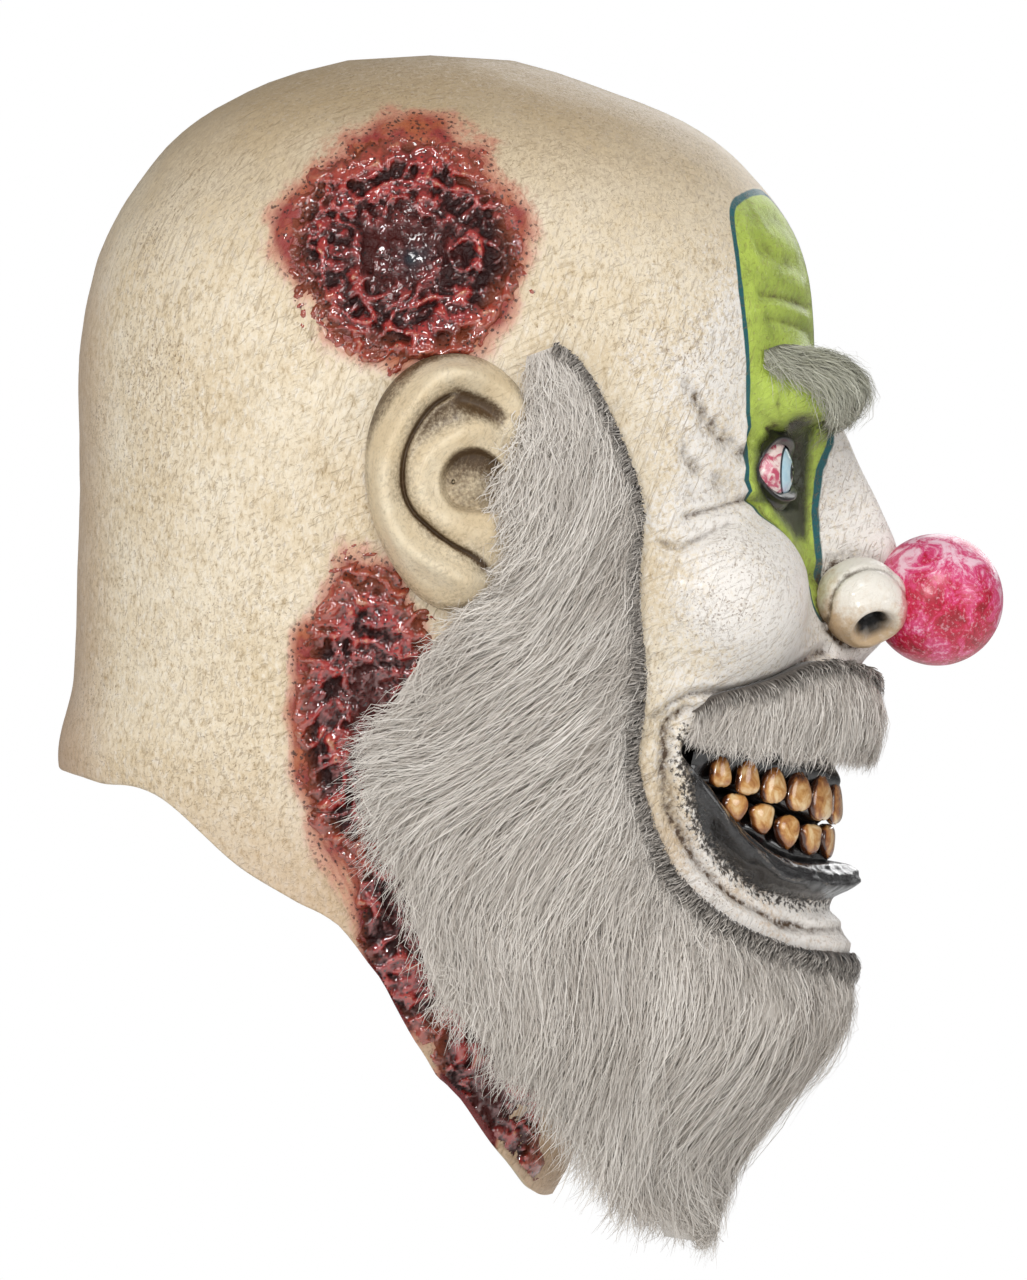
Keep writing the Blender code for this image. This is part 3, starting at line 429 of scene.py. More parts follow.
# Paint: what the eye gets from hand-painted latex is a cream base, dry-brushed white, dark washes with painted shade in
# the folds
paint = {
    "tan": "DCC9A9", "tanDark": "A58B64", "tanLight": "EADCC3", "white": "F0EBE5", "outline": "0D5A60",
    "black": "161415", "washAndShade": "4A3520", "speck": "6E4A28", "red": "A3122B", "blood": "6B0F14",
    # creases: depth and width in mm, then (angle, drop) along it
    "creases": [
        (0.9, 2.0, [(0, .150), (8, .153), (15, .147), (21, .150)]),
        (1.1, 2.2, [(0, .186), (12, .190), (22, .182), (28, .172)]),
        (1.2, 2.2, [(0, .216), (11, .223), (21, .216), (30, .213)]),
        (0.9, 2.0, [(0, .243), (10, .245), (20, .238), (29, .233)]),
        (2.2, 2.0, [(32, .338), (24, .3285), (20, .3185), (13.8, .312)]),
        (0.9, 1.3, [(25.8, .309), (24, .290), (20.5, .279)]),
        (1.6, 1.7, [(48, .292), (46, .302), (42.5, .3246), (36, .349), (32, .356)]),
        (1.5, 1.6, [(47, .352), (45, .3642), (39.5, .3773), (32.5, .3817)]),
        (1.5, 1.9, [(45.5, .411), (39.5, .4081), (33, .3993), (30, .398)]),
        (1.2, 2.4, [(31.5, .4), (29.8, .4212), (25.5, .4432), (18, .452), (11, .4564)]),
        (1.0, 1.6, [(51, .430), (46, .441), (42, .437), (38, .431)]),
        (1.5, 1.5, [(54, .580), (51, .566), (48, .5574), (42.8, .553), (36, .5416), (25, .531), (14, .522)]),
        (1.9, 1.9, [(49, .572), (51.8, .5837), (52.5, .6188), (50.5, .6627), (45.2, .7067), (39, .738), (29.5, .7600),
                    (14.8, .769), (0, .770)]),
        (1.4, 1.5, [(48.9, .602), (47.8, .6452), (41.6, .6979), (32, .731), (21, .7400), (8.5, .739), (0, .738)]),
        (0.8, 1.2, [(44, .330), (40, .338), (36, .341)]), (0.7, 1.2, [(48, .385), (43, .390), (38, .388)]),
    ],
    # green patch round each eye, as (angle, drop)
    "patch": [(9, .1235), (16, .1225), (24.5, .1275), (30.6, .1375), (33.8, .1560), (35.4, .186), (35.8, .2149),
              (35.2, .250), (34.2, .2851), (32.8, .3378), (32.5, .3905), (31.2, .4256), (25.5, .4500), (17.5, .4690),
              (13.2, .4960), (11.0, .4780), (9.6, .4500), (8.6, .4300), (7.6, .3950), (6.4, .365), (4.2, .338),
              (3.2, .310), (3.2, .270), (3.4, .220), (3.6, .165), (5.4, .133)],
    # black paint and painted shade round the right eye in the side view, (forward, up) in mm, mirrored on the left
    "eyeBlackAndShadeOutline": [(101.4, -120), (103.9, -116.2), (107.9, -113.2), (111.6, -109.4), (116.6, -107.9), (119.4, -111.6),
                (118.4, -115.6), (118.0, -120.0), (117.4, -126.2), (117.0, -131.8), (117.2, -141), (116.4, -148.2),
                (112.8, -146.9), (107.9, -142.6), (103.9, -137.9), (99.8, -134.8), (99.4, -132.8), (102.6, -133.6),
                (101.0, -127)],
    # black of the mouth and lower lip, as (angle, drop)
    "lips": [(0, .583), (20, .583), (36, .578), (44, .583), (48.9, .5975), (48.8, .620), (47.6, .650), (44.8, .678),
             (41.2, .6995), (36.5, .719), (31.5, .732), (21, .7405), (8.5, .740), (0, .741)],
}
patchLine = rounded(onMap(paint["patch"]), 6)
lipsLine = onMap([(-a, d) for a, d in paint["lips"][:0:-1]] + paint["lips"][:-1])


def headGrid(bands):
    # drops in bands; each column is squeezed to end on the neck edge, and two rows bend to the lip lines
    share = np.linspace(-1, 1, head["columns"], endpoint=False)[:, None]
    angle = math.pi / 2 * (share + share ** 3)
    stops = [np.linspace(a[0], b[0], a[1], endpoint=False) for a, b in zip(bands, bands[1:])]
    drop = np.concatenate([[0], *stops, [1]])[None, :]
    degrees = np.degrees(np.abs(angle))
    cut = 1 - curve(degrees, head["rim"][:, 0], head["rim"][:, 1])
    drop = drop * (1 - cut * drop ** np.minimum(5, 0.6 / np.maximum(cut, 1e-6) - 1))
    level = [0.520, 0.606, 0.706, 0.800]
    target = [0.520, *(curve(degrees, head["mouth"][:, 0], head["mouth"][:, k]) for k in (1, 2)), 0.800]
    warped = drop + 0 * angle
    for k in range(3):
        share = (drop - level[k]) / (level[k + 1] - level[k])
        warped = np.where((share >= 0) & (share < 1), target[k] + share * (target[k + 1] - target[k]), warped)
    return angle + 0 * warped, rowAt(warped)


def woundReach(forward, up, wound):  # 0 in the middle of a wound, 1 at its rim, with a ragged edge
    middle = place(0, wound[0], wound[1])
    along = (forward - middle[1]) / (wound[2] * head["length"])
    down = (up - middle[2]) / (wound[3] * head["height"])
    spot = np.stack([forward, up, 0 * forward], -1)
    return np.hypot(along, down) + 0.15 * layeredNoise(spot, 0.019, 5) + 0.06 * valueNoise(spot, 0.005, 9)


def carve(points, angle, row):
    # creases: -depth (bell(d/w) - 0.4 bell((d - 2.1w)/1.3w)), plus hand-modelled unevenness and the wounds' beds
    drop = sectionColumn(0, row)
    u, v = np.degrees(np.abs(angle)) * degreeMm, drop * dropMm
    outward = normalsOf(bareHead(angle, row), True)
    wobble = 0.6 * valueNoise(points, 0.011, 3)
    push, dark = 0 * u, 0 * u
    face = np.abs(angle) < math.radians(64)
    for depth, width, line in paint["creases"]:
        d = np.full(u.shape, 99.0)
        d[face] = lineDistance(u[face], v[face], onMap(line)) + wobble[face]
        fade = 1 - (1 - smooth(u, 9, 24)) * (v < 92)
        push += depth * fade * (-bell(d, width) + 0.4 * bell(d - 2.1 * width, 1.3 * width))
        # dark: brown wash with painted shade in the creases, stronger where a crease is deeper
        dark = np.maximum(dark, depth / 1.5 * bell(d, width * 0.52))
    calm = smooth(u, 0, 20)
    push += 0.35 * layeredNoise(points, 0.030, 11) + 0.16 * valueNoise(points, 0.006, 17) * (0.4 + 0.6 * calm)
    mirrored = np.stack([np.abs(points[..., 0]), points[..., 1], points[..., 2]], -1)
    # lid: black eye paint with painted shade under the brow and round the eyeball
    lid = np.full(u.shape, -99.0)
    nearEye = face & (np.abs(angle) > math.radians(7)) & (drop > 0.25) & (drop < 0.46)
    lid[nearEye] = insideDistance(points[nearEye][:, 1] * 1000, points[nearEye][:, 2] * 1000,
                                  np.array(paint["eyeBlackAndShadeOutline"], float))
    fromEye = np.linalg.norm(mirrored[nearEye] - place(*head["eye"]), axis=-1)
    lid[nearEye] = np.maximum(lid[nearEye], 3.0 - fromEye * 1000 + head["eyeRadius"] * 1000)
    push += 2.6 * bell(u, 13) * bell(v - 252.5, 5.5)
    offWing = np.linalg.norm((mirrored - place(*head["noseWing"])) / np.array([0.013, 0.0150, 0.0136]), axis=-1) - 1
    # painted shade on the cheek round the nose wing, broader over its upper half
    dark = np.maximum(dark, 1.25 * bell(offWing - 0.02, 0.10))
    dark = np.maximum(dark, 0.55 * bell(offWing - 0.12, 0.20) * smooth(points[..., 2] + 0.166, 0, 0.006))
    lipZone = insideDistance(np.degrees(angle) * degreeMm, v, lipsLine)
    ridges = (np.sin(lipZone * 1.75 + 2.2 * valueNoise(points, 0.009, 23))
              * (0.6 + 0.4 * valueNoise(points, 0.004, 27)))
    push += smooth(lipZone, 0, 3) * (0.75 * ridges + 0.45 * valueNoise(points, 0.0022, 29))
    right = points[..., 0] < 0
    reach = np.full(u.shape, 9.0)
    for wound in head["wounds"]:
        here = np.where(right & ~face, woundReach(points[..., 1], points[..., 2], wound), 9.0)
        reach = np.minimum(reach, here)
    push += 0.8 * bell(reach - 1.08, 0.09) - 2.5 * plateau(reach, 0.25)
    near = smooth(1.9 - reach, 0, 0.8)
    cells = cellDistance(points, 0.0030, 31)[0]
    push -= near * 0.75 * bell(cells, 0.35) * smooth(reach, 0.9, 1.0)
    left = smooth(-0.02 - points[..., 1], 0, 0.05) + smooth(points[..., 2] + 0.055, 0, 0.03)
    halo = 1.36 + 0.34 * layeredNoise(points, 0.018, 51) + 0.10 * left - reach
    return points + outward * (push / 1000)[..., None], dark, lid, lipZone, reach, smooth(halo, 0, 0.42), ridges


def makeSkin():
    # outer grid of the carved head, inner grid a wall's thickness below, joined at the neck edge, closed at the crown
    angle, row = headGrid(head["bands"])
    layers = carve(moulded(angle, row), angle, row)
    outer, dark, lid, lipZone, reach, halo, ridges, angle, row = (a[:, 1:] for a in (*layers, angle, row))
    plain = bareHead(angle, row)
    proud = np.sum((moulded(angle, row) - plain) * normalsOf(plain, True), -1)
    coarse = head["innerStep"]
    keep = np.r_[0:outer.shape[1] - 1:coarse, outer.shape[1] - 1]
    low = proud.copy()
    for step in range(-12, 13, 3):
        low = np.minimum(low, np.roll(proud, step, 0))
    padded = np.pad(low, ((0, 0), (16, 16)), mode="edge")
    low = np.min([padded[:, k:k + low.shape[1]] for k in range(0, 33, 4)], axis=0)
    inner = (plain + normalsOf(plain, True) * (low - head["wall"])[..., None])[::coarse][:, keep]
    columns, rows = outer.shape[:2]
    innerColumns, innerRows = inner.shape[:2]
    first = columns * rows
    crown = first + innerColumns * innerRows
    points = np.vstack([outer.reshape(-1, 3), inner.reshape(-1, 3), place(0, 0, 0), [0, 0, 0]])
    around = np.arange(columns)
    following = (around + 1) % columns
    fan = np.stack([around * rows, following * rows, np.full(columns, crown)], -1)[:, ::-1]
    inside = gridFaces(innerColumns, innerRows, True)[:, ::-1] + first
    under = np.arange(innerColumns)
    nextUnder = (under + 1) % innerColumns
    innerFan = np.stack([first + under * innerRows, first + nextUnder * innerRows,
                         np.full(innerColumns, crown + 1)], -1)
    # the band at the neck edge joins four outer columns to each inner one
    belongs = first + (around // coarse) * innerRows + innerRows - 1
    nextOne = first + (((around + 1) // coarse) % innerColumns) * innerRows + innerRows - 1
    edge, edgeNext = around * rows + rows - 1, following * rows + rows - 1
    same = belongs == nextOne
    bandTriangles = np.stack([edge, edgeNext, belongs], -1)
    bandQuads = np.stack([edge, edgeNext, nextOne, belongs], -1)[~same]
    flat = [gridFaces(columns, rows, True), inside, bandQuads, bandTriangles[same], fan, innerFan]
    extra = innerColumns * innerRows + 2

    def fill(values, far):  # the outer grid's values, and one value for all the other points
        return np.concatenate([values.reshape(-1), np.full(extra, far)])

    u, v = np.degrees(np.abs(angle)) * degreeMm, sectionColumn(0, row) * dropMm
    green = insideDistance(u, v, patchLine)
    forward, up = outer[..., 1], outer[..., 2]
    white = smooth(forward + 0.010 * layeredNoise(outer, 0.03, 61), 0.020, 0.098) * smooth(-up, 0.012, 0.100)
    red = bell(np.hypot(u, v - 170), 9.5) * (np.abs(angle) < 1)
    attributes = {
        # dark: brown wash and painted shade of the creases and round the nose wing
        "green": fill(green, -99), "dark": fill(dark, 0), "lid": fill(lid, -99), "lips": fill(lipZone, -99),
        "reach": fill(reach, 9), "white": fill(white, 0), "noseRed": fill(red, 0),
        "inner": np.concatenate([np.zeros(first), np.ones(innerColumns * innerRows), [0, 1]]),
        "halo": fill(halo, 0), "ridges": fill(ridges, 0),
    }
    return addPiece("mask_skin", points, flat, skinMaterial(), attributes, ("latex_skin",))


def latexBump(tree, coords, strength):
    # brushed latex paint: crossing scratches about 0.4 mm wide and 15 mm long, over 2 mm unevenness
    scratches = []
    for turn, size in ((1.12, 900.0), (0.40, 1040.0)):
        turned = addNode(tree, "Mapping", {"vector_type": "TEXTURE"},
                         {"Vector": coords, "Rotation": (turn, 0.1, 0.1), "Scale": (1, 1, 22)})
        line = addNode(tree, "TexNoise", {}, {"Vector": turned, "Scale": size, "Detail": 3.0, "Distortion": 0.9})
        scratches.append(addNode(tree, "MapRange", {}, {"Value": line, "From Min": 0.56, "From Max": 0.70}))
    both = addNode(tree, "Math", larger, {0: scratches[0], 1: scratches[1]})
    grain = addNode(tree, "TexNoise", {}, {"Vector": coords, "Scale": 430.0, "Detail": 6.0, "Roughness": 0.70})
    height = addNode(tree, "Math", multiplyAdd, {0: both, 1: -0.45, 2: grain})
    bump = addNode(tree, "Bump", {}, {"Strength": strength, "Distance": 0.0006, "Height": height})
    return bump, both, grain


def skinMaterial():
    # cast natural latex, painted by hand: satin, cream with brown washes, white face, hard-edged green patches
    material, tree, shader, coords = newMaterial("handPaintedLatex", {"IOR": 1.5, "Coat Roughness": 0.14})
    green, dark, lid, lips, reach, white, noseRed, inner, halo, ridges = (
        addNode(tree, "Attribute", {"attribute_name": name}).outputs["Fac"]
        for name in ("green", "dark", "lid", "lips", "reach", "white", "noseRed", "inner", "halo", "ridges"))
    bump, scratch, grain = latexBump(tree, coords, 0.75)
    # noises from the paint's blotches of 30 mm to its specks under 1 mm: scale, detail, roughness
    blotch, fleck, worn, cloud, wobble, scratchWhere, specks, speckWhere, ringSpeck = (
        addNode(tree, "TexNoise", {}, {"Vector": coords, "Scale": scale, "Detail": detail, "Roughness": rough})
        for scale, detail, rough in (
            (34.0, 6.0, 0.6), (620.0, 5.0, 0.7), (48.0, 4.0, 0.5), (90.0, 6.0, 0.65), (160.0, 2.0, 0.5),
            (22.0, 3.0, 0.5), (1150.0, 3.0, 0.6), (26.0, 3.0, 0.5), (700.0, 4.0, 0.7)))
    blotch = addNode(tree, "MapRange", {}, {"Value": blotch, "From Min": 0.38, "From Max": 0.66})
    colour = addNode(tree, "Mix", mixColour, {0: blotch, 6: paint["tan"], 7: paint["tanLight"]})
    # paint sponged on: light and brown dabs of 1 to 2 mm, drawn out a little downwards
    longer = addNode(tree, "Mapping", {}, {"Vector": coords, "Scale": (1, 1, 0.6)})
    dabs = addNode(tree, "TexNoise", {}, {"Vector": longer, "Scale": 560.0, "Detail": 6.0, "Roughness": 0.74,
                                          "Distortion": 0.3})
    lightDabs = addNode(tree, "MapRange", {}, {"Value": dabs, "From Min": 0.50, "From Max": 0.66, "To Max": 0.75})
    darkDabs = addNode(tree, "MapRange", {}, {"Value": dabs, "From Min": 0.46, "From Max": 0.32, "To Max": 0.75})
    # darker wash over the crown; painted shade down the back of the head and towards the neck edge
    place3 = addNode(tree, "SeparateXYZ", {}, {0: coords})
    crown = addNode(tree, "Math", multiplyAdd, {0: dabs, 1: 0.20, 2: place3.outputs[2]})
    crown = addNode(tree, "MapRange", smoothStep, {"Value": crown, "From Min": 0.036, "From Max": 0.096,
                                                   "To Max": 0.96})
    mottle = addNode(tree, "MapRange", {}, {"Value": dabs, "From Min": 0.38, "From Max": 0.60, "To Min": 1.0,
                                            "To Max": 0.66})
    crown = addNode(tree, "Math", multiply, {0: crown, 1: mottle})
    back = addNode(tree, "MapRange", smoothStep,
                   {"Value": place3.outputs[1], "From Min": 0.092, "From Max": 0.116, "To Max": 0.6})
    neckShade = addNode(tree, "MapRange", smoothStep,
                   {"Value": place3.outputs[2], "From Min": -0.200, "From Max": -0.290, "To Max": 0.65})
    # white face, rubbed thin in flecks about 1 mm across
    cover = addNode(tree, "Math", multiplyAdd, {0: worn, 1: 0.55, 2: fleck})
    cover = addNode(tree, "Math", multiplyAdd, {0: white, 1: 0.66, 2: cover})
    cover = addNode(tree, "MapRange", smoothStep, {"Value": cover, "From Min": 1.12, "From Max": 1.47,
                                                   "To Max": 0.95})
    # green patch, rubbed in flecks too, with a painted outline nearly 2 mm wide
    patchShare = addNode(tree, "MapRange", {}, {"Value": cloud, "From Min": 0.42, "From Max": 0.72})
    patch = addNode(tree, "Mix", mixColour, {0: patchShare, 6: "B6CB55", 7: "93A544"})
    rubbed = addNode(tree, "MapRange", {}, {"Value": fleck, "From Min": 0.60, "From Max": 0.70, "To Max": 0.55})
    patch = addNode(tree, "Mix", mixColour, {0: rubbed, 6: patch, 7: "D6DC9A"})
    inPatch = addNode(tree, "MapRange", {}, {"Value": green, "From Min": -0.3, "From Max": 0.1})
    onLine = addNode(tree, "Math", {"operation": "ABSOLUTE"}, {0: green})
    onLine = addNode(tree, "Math", multiplyAdd, {0: wobble, 1: 0.7, 2: onLine})
    onLine = addNode(tree, "MapRange", {}, {"Value": onLine, "From Min": 1.45, "From Max": 1.10})
    # brown washes: scratches and pores, and in the creases a brown wash with painted shade, darker where a crease is
    # deeper
    scratchWhere = addNode(tree, "MapRange", {},
                           {"Value": scratchWhere, "From Min": 0.35, "From Max": 0.65, "To Min": 0.12,
                            "To Max": 0.55})
    scratches = addNode(tree, "Math", multiply, {0: scratch, 1: scratchWhere})
    specks = addNode(tree, "Math", multiplyAdd, {0: speckWhere, 1: 0.5, 2: specks})
    specks = addNode(tree, "MapRange", {}, {"Value": specks, "From Min": 0.90, "From Max": 1.00, "To Max": 0.62})
    creaseWashAndShade = addNode(tree, "MapRange", {}, {"Value": grain, "From Min": 0.30, "From Max": 0.62})
    creaseWashAndShade = addNode(tree, "Math", multiply, {0: dark, 1: creaseWashAndShade})
    creaseWashAndShade = addNode(tree, "Math", multiplyClamped, {0: creaseWashAndShade, 1: 1.1})
    red = addNode(tree, "Math", multiplyClamped, {0: noseRed, 1: cloud})
    red = addNode(tree, "MapRange", {}, {"Value": red, "From Min": 0.16, "From Max": 0.42})
    # speckled cream ring round the lips, black mouth with rubbed ridges, black paint with painted shade round the eyes
    ring = addNode(tree, "MapRange", smoothStep, {"Value": lips, "From Min": -9.0, "From Max": -1.0, "To Max": 0.36})
    ring = addNode(tree, "Math", adding, {0: ringSpeck, 1: ring})
    ring = addNode(tree, "MapRange", {}, {"Value": ring, "From Min": 0.80, "From Max": 0.90})
    black = addNode(tree, "Math", multiplyAdd, {0: fleck, 1: 5.0, 2: lips})
    black = addNode(tree, "MapRange", {}, {"Value": black, "From Min": 2.3, "From Max": 3.3})
    rubbed = addNode(tree, "Math", multiply, {0: ridges, 1: fleck})
    rubbed = addNode(tree, "MapRange", {}, {"Value": rubbed, "From Min": 0.24, "From Max": 0.42, "To Max": 0.55})
    lipColour = addNode(tree, "Mix", mixColour, {0: rubbed, 6: paint["black"], 7: "8C8278"})
    # black paint with painted shade round the eyes
    eyeBlackAndShade = addNode(tree, "Math", multiplyAdd, {0: cloud, 1: 4.0, 2: lid})
    eyeBlackAndShade = addNode(tree, "MapRange", smoothStep,
                       {"Value": eyeBlackAndShade, "From Min": 0.4, "From Max": 4.4, "To Max": 0.95})
    # irritated halo round the wounds, pitted about every 2 mm
    haloNoise = addNode(tree, "Math", multiplyAdd, {0: dabs, 1: 1.5, 2: halo})
    haloWash = addNode(tree, "MapRange", smoothStep,
                       {"Value": haloNoise, "From Min": 0.72, "From Max": 1.35, "To Max": 0.62})
    haloEdge = addNode(tree, "MapRange", {}, {"Value": halo, "From Min": 0.0, "From Max": 0.4})
    haloWash = addNode(tree, "Math", multiplyClamped, {0: haloWash, 1: haloEdge})
    haloDeep = addNode(tree, "Math", multiply, {0: halo, 1: haloNoise})
    haloDeep = addNode(tree, "MapRange", smoothStep,
                       {"Value": haloDeep, "From Min": 0.55, "From Max": 1.65, "To Max": 0.95})
    haloColour = addNode(tree, "MapRange", {}, {"Value": cloud, "From Min": 0.42, "From Max": 0.60})
    haloColour = addNode(tree, "Mix", mixColour, {0: haloColour, 6: "8C2422", 7: "A8562F"})
    bent = addNode(tree, "VectorMath", multiplyAdd, {0: fleck.outputs["Color"], 1: (0.003, 0.003, 0.003), 2: coords})
    pits = addNode(tree, "TexVoronoi", {}, {"Vector": bent, "Scale": 560.0})
    pits = addNode(tree, "Math", multiplyAdd, {0: cloud, 1: -0.35, 2: pits})
    pits = addNode(tree, "MapRange", {}, {"Value": pits, "From Min": 0.19, "From Max": 0.06, "To Max": 0.85})
    pitWhere = addNode(tree, "MapRange", {}, {"Value": halo, "From Min": 0.15, "From Max": 0.6})
    pits = addNode(tree, "Math", multiply, {0: pits, 1: pitWhere})
    blood = addNode(tree, "MapRange", smoothStep, {"Value": reach, "From Min": 1.05, "From Max": 0.92, "To Max": 0.9})
    # the paints and the painted shade in the order in which they lie, each with its share
    for share, over in (
        (lightDabs, "F0E7D8"), (darkDabs, "A88D63"), (crown, paint["tanDark"]), (back, "B58E70"), (neckShade, "BC9572"),
        (cover, paint["white"]), (inPatch, patch), (onLine, paint["outline"]), (scratches, "8E7350"),
        (specks, paint["speck"]), (creaseWashAndShade, paint["washAndShade"]), (red, paint["red"]), (ring, "3A322B"), (black, lipColour),
        (eyeBlackAndShade, "1B1914"), (haloWash, "C4705A"), (haloDeep, haloColour), (pits, "240E0A"), (blood, paint["blood"]),
        (inner, "C9B48C"),
    ):
        colour = addNode(tree, "Mix", mixColour, {0: share, 6: colour, 7: over})

    wet = addNode(tree, "Math", larger, {0: black, 1: blood})
    wet = addNode(tree, "Math", larger, {0: wet, 1: eyeBlackAndShade})
    roughness = addNode(tree, "MapRange", {}, {"Value": grain, "From Min": 0.3, "From Max": 0.7, "To Min": 0.40,
                                               "To Max": 0.56})
    roughness = addNode(tree, "Math", multiplyAdd, {0: wet, 1: -0.30, 2: roughness})
    coat = addNode(tree, "Math", multiplyAdd, {0: black, 1: 0.80, 2: 0.08})
    # the black paint lies over wrinkles about 3 mm apart
    wrinkle = addNode(tree, "TexNoise", {}, {"Vector": coords, "Scale": 290.0, "Detail": 3.0, "Distortion": 1.4})
    wrinkle = addNode(tree, "Math", multiply, {0: wrinkle, 1: black})
    bump = addNode(tree, "Bump", {}, {"Strength": 1.0, "Distance": 0.0016, "Height": wrinkle, "Normal": bump})
    setInputs(tree, shader, {"Base Color": colour, "Roughness": roughness, "Coat Weight": coat, "Normal": bump})
    return material


makeSkin()
print("skin made")

# Wounds: glossy lumps of poured latex, deep red over black
woundStyle = {"step": 0.00062, "lump": 0.0052, "lift": 0.0024, "ridge": 0.0018}


def woundMaterial():
    # poured latex with clear gloss: blood red, brown-black in the hollows, a few raw pale ridges
    material, tree, shader, coords = newMaterial("glossPouredLatex", {
        "IOR": 1.5, "Roughness": 0.48, "Specular IOR Level": 0.22, "Coat Roughness": 0.04, "Coat IOR": 1.95})
    tall, reach, teal = (addNode(tree, "Attribute", {"attribute_name": name}).outputs["Fac"]
                         for name in ("tall", "reach", "teal"))
    fine = addNode(tree, "TexNoise", {},
                   {"Vector": coords, "Scale": 270.0, "Detail": 2.5, "Roughness": 0.5, "Distortion": 0.9})
    wide = addNode(tree, "TexNoise", {}, {"Vector": coords, "Scale": 95.0, "Detail": 4.0, "Distortion": 1.2})
    mixed = addNode(tree, "Math", multiply, {0: tall, 1: 0.60})
    mixed = addNode(tree, "Math", multiplyAdd, {0: wide, 1: 0.36, 2: mixed})
    mixed = addNode(tree, "Math", multiplyAdd, {0: fine, 1: 0.35, 2: mixed})
    colour = addNode(tree, "ValToRGB", {}, {0: mixed})
    fillRamp(colour, ((0.46, "260706"), (0.54, "460E0A"), (0.63, "741410"), (0.73, "A0201E"), (0.84, "AC3A2C"),
                      (0.95, "C4805E")))
    raw = addNode(tree, "Math", multiply, {0: fine, 1: tall})
    raw = addNode(tree, "MapRange", {}, {"Value": raw, "From Min": 0.50, "From Max": 0.66, "To Max": 0.4})
    rim = addNode(tree, "MapRange", smoothStep, {"Value": reach, "From Min": 0.76, "From Max": 1.06, "To Max": 0.55})
    core = addNode(tree, "MapRange", smoothStep, {"Value": reach, "From Min": 0.60, "From Max": 0.15, "To Max": 0.7})
    pits = addNode(tree, "TexVoronoi", {}, {"Vector": coords, "Scale": 520.0})
    pits = addNode(tree, "MapRange", {}, {"Value": pits, "From Min": 0.30, "From Max": 0.16, "To Max": 0.85})
    for share, over in ((raw, "B9776A"), (rim, "9A4A2C"), (core, "4A1612"), (teal, "0E2F38"), (pits, "160707")):
        colour = addNode(tree, "Mix", mixColour, {0: share, 6: colour, 7: over})
    bump = addNode(tree, "Bump", {}, {"Strength": 1.0, "Distance": 0.0015, "Height": fine})
    # the clear gloss stands on the ridges, the hollows stay dull
    gloss = addNode(tree, "MapRange", {}, {"Value": mixed, "From Min": 0.46, "From Max": 0.64})
    setInputs(tree, shader, {"Base Color": colour, "Coat Weight": gloss, "Normal": bump})
    return material


def makeWound(name, wound, material, seed):
    # side-view grid on the skin; height = lumps of cell noise + wandering ridges 1 - |noise|, sinking at the rim
    middle = place(0, wound[0], wound[1])
    reachOut = np.array([wound[2] * head["length"], wound[3] * head["height"]]) * 1.55
    counts = (2 * reachOut / woundStyle["step"]).astype(int)
    forward = middle[1] + np.linspace(reachOut[0], -reachOut[0], counts[0])[:, None]
    up = middle[2] + np.linspace(reachOut[1], -reachOut[1], counts[1])[None, :]
    forward, up = forward + 0 * up, up + 0 * forward
    reach = woundReach(forward, up, wound)
    flat = np.stack([forward, up, 0 * up], -1)
    fromMiddle = np.hypot(forward - middle[1], up - middle[2])
    about = np.arctan2(up - middle[2], forward - middle[1])
    ring = np.stack([fromMiddle, np.cos(about) * 0.010, np.sin(about) * 0.010], -1)
    bent = flat + 0.0040 * np.stack([valueNoise(flat, 0.010, seed + k) for k in range(3)], -1)
    swirled = ring + 0.0042 * np.stack([valueNoise(flat, 0.009, seed + 20 + k) for k in range(3)], -1)
    cells, second = cellDistance(bent, woundStyle["lump"], seed)
    small, smallSecond = cellDistance(bent, woundStyle["lump"] * 0.40, seed + 5)
    flap = np.clip(1 - np.abs(valueNoise(swirled, 0.0046, seed + 8)) * 3.2, 0, 1) ** 0.7
    vein = np.clip(1 - np.abs(valueNoise(bent, 0.0036, seed + 9)) * 3.0, 0, 1)
    outer = smooth(reach, 0.15, 0.55)
    tall = (0.30 * smooth(second - cells, 0, 0.5) + 0.16 * smooth(smallSecond - small, 0, 0.35)
            + 0.46 * flap * (0.35 + 0.65 * outer) + 0.20 * vein)
    crater = 0.30 * layeredNoise(flat, 0.022, seed + 3) - 0.35 * (1 - outer)
    lift = -0.0014 + (tall + crater) * (woundStyle["lift"] + woundStyle["ridge"])
    lift = lift + 0.0009 * smooth(reach, 0.65, 0.95) - 0.0032 * smooth(reach, 1.04, 1.20)
    lift = np.maximum(lift, -0.0020 + 0.0004 * layeredNoise(flat, 0.004, seed + 4))
    points = sideSkin(-1, forward, up, lift)
    # cut along the rim of the wound, the neck edge and the outline of the head
    row, ahead, share, power = sideShare(forward, up)
    bend = np.degrees(np.arccos(np.clip(share, 0, 1) ** (power / 2)))
    angle = np.where(ahead, bend, 180 - bend)
    belowRim = (head["wall"] - up) / head["height"] - curve(angle, head["rim"][:, 0], head["rim"][:, 1])
    keep = ((share < 0.985) & (belowRim < -0.006) & (reach < 1.24)).reshape(-1)
    faces = gridFaces(*points.shape[:2])
    faces = faces[keep[faces].all(1)]
    used, faces = np.unique(faces, return_inverse=True)
    teal = bell(np.hypot(forward + 0.0040, up + 0.0620), 0.0045) * (0.6 + 0.4 * valueNoise(flat, 0.003, 7))
    values = {"tall": tall, "reach": reach, "teal": teal}
    return addPiece(name, points.reshape(-1, 3)[used], faces.reshape(-1, 4), material,
                    {key: value.reshape(-1)[used] for key, value in values.items()})


woundPaint = woundMaterial()
woundNames = ("temple_wound", "nape_wound", "neck_wound", "bib_wound")
for woundName, wound, seed in zip(woundNames, head["wounds"], (60, 80, 100, 120)):
    makeWound(woundName, wound, woundPaint, seed)
print("wounds made")

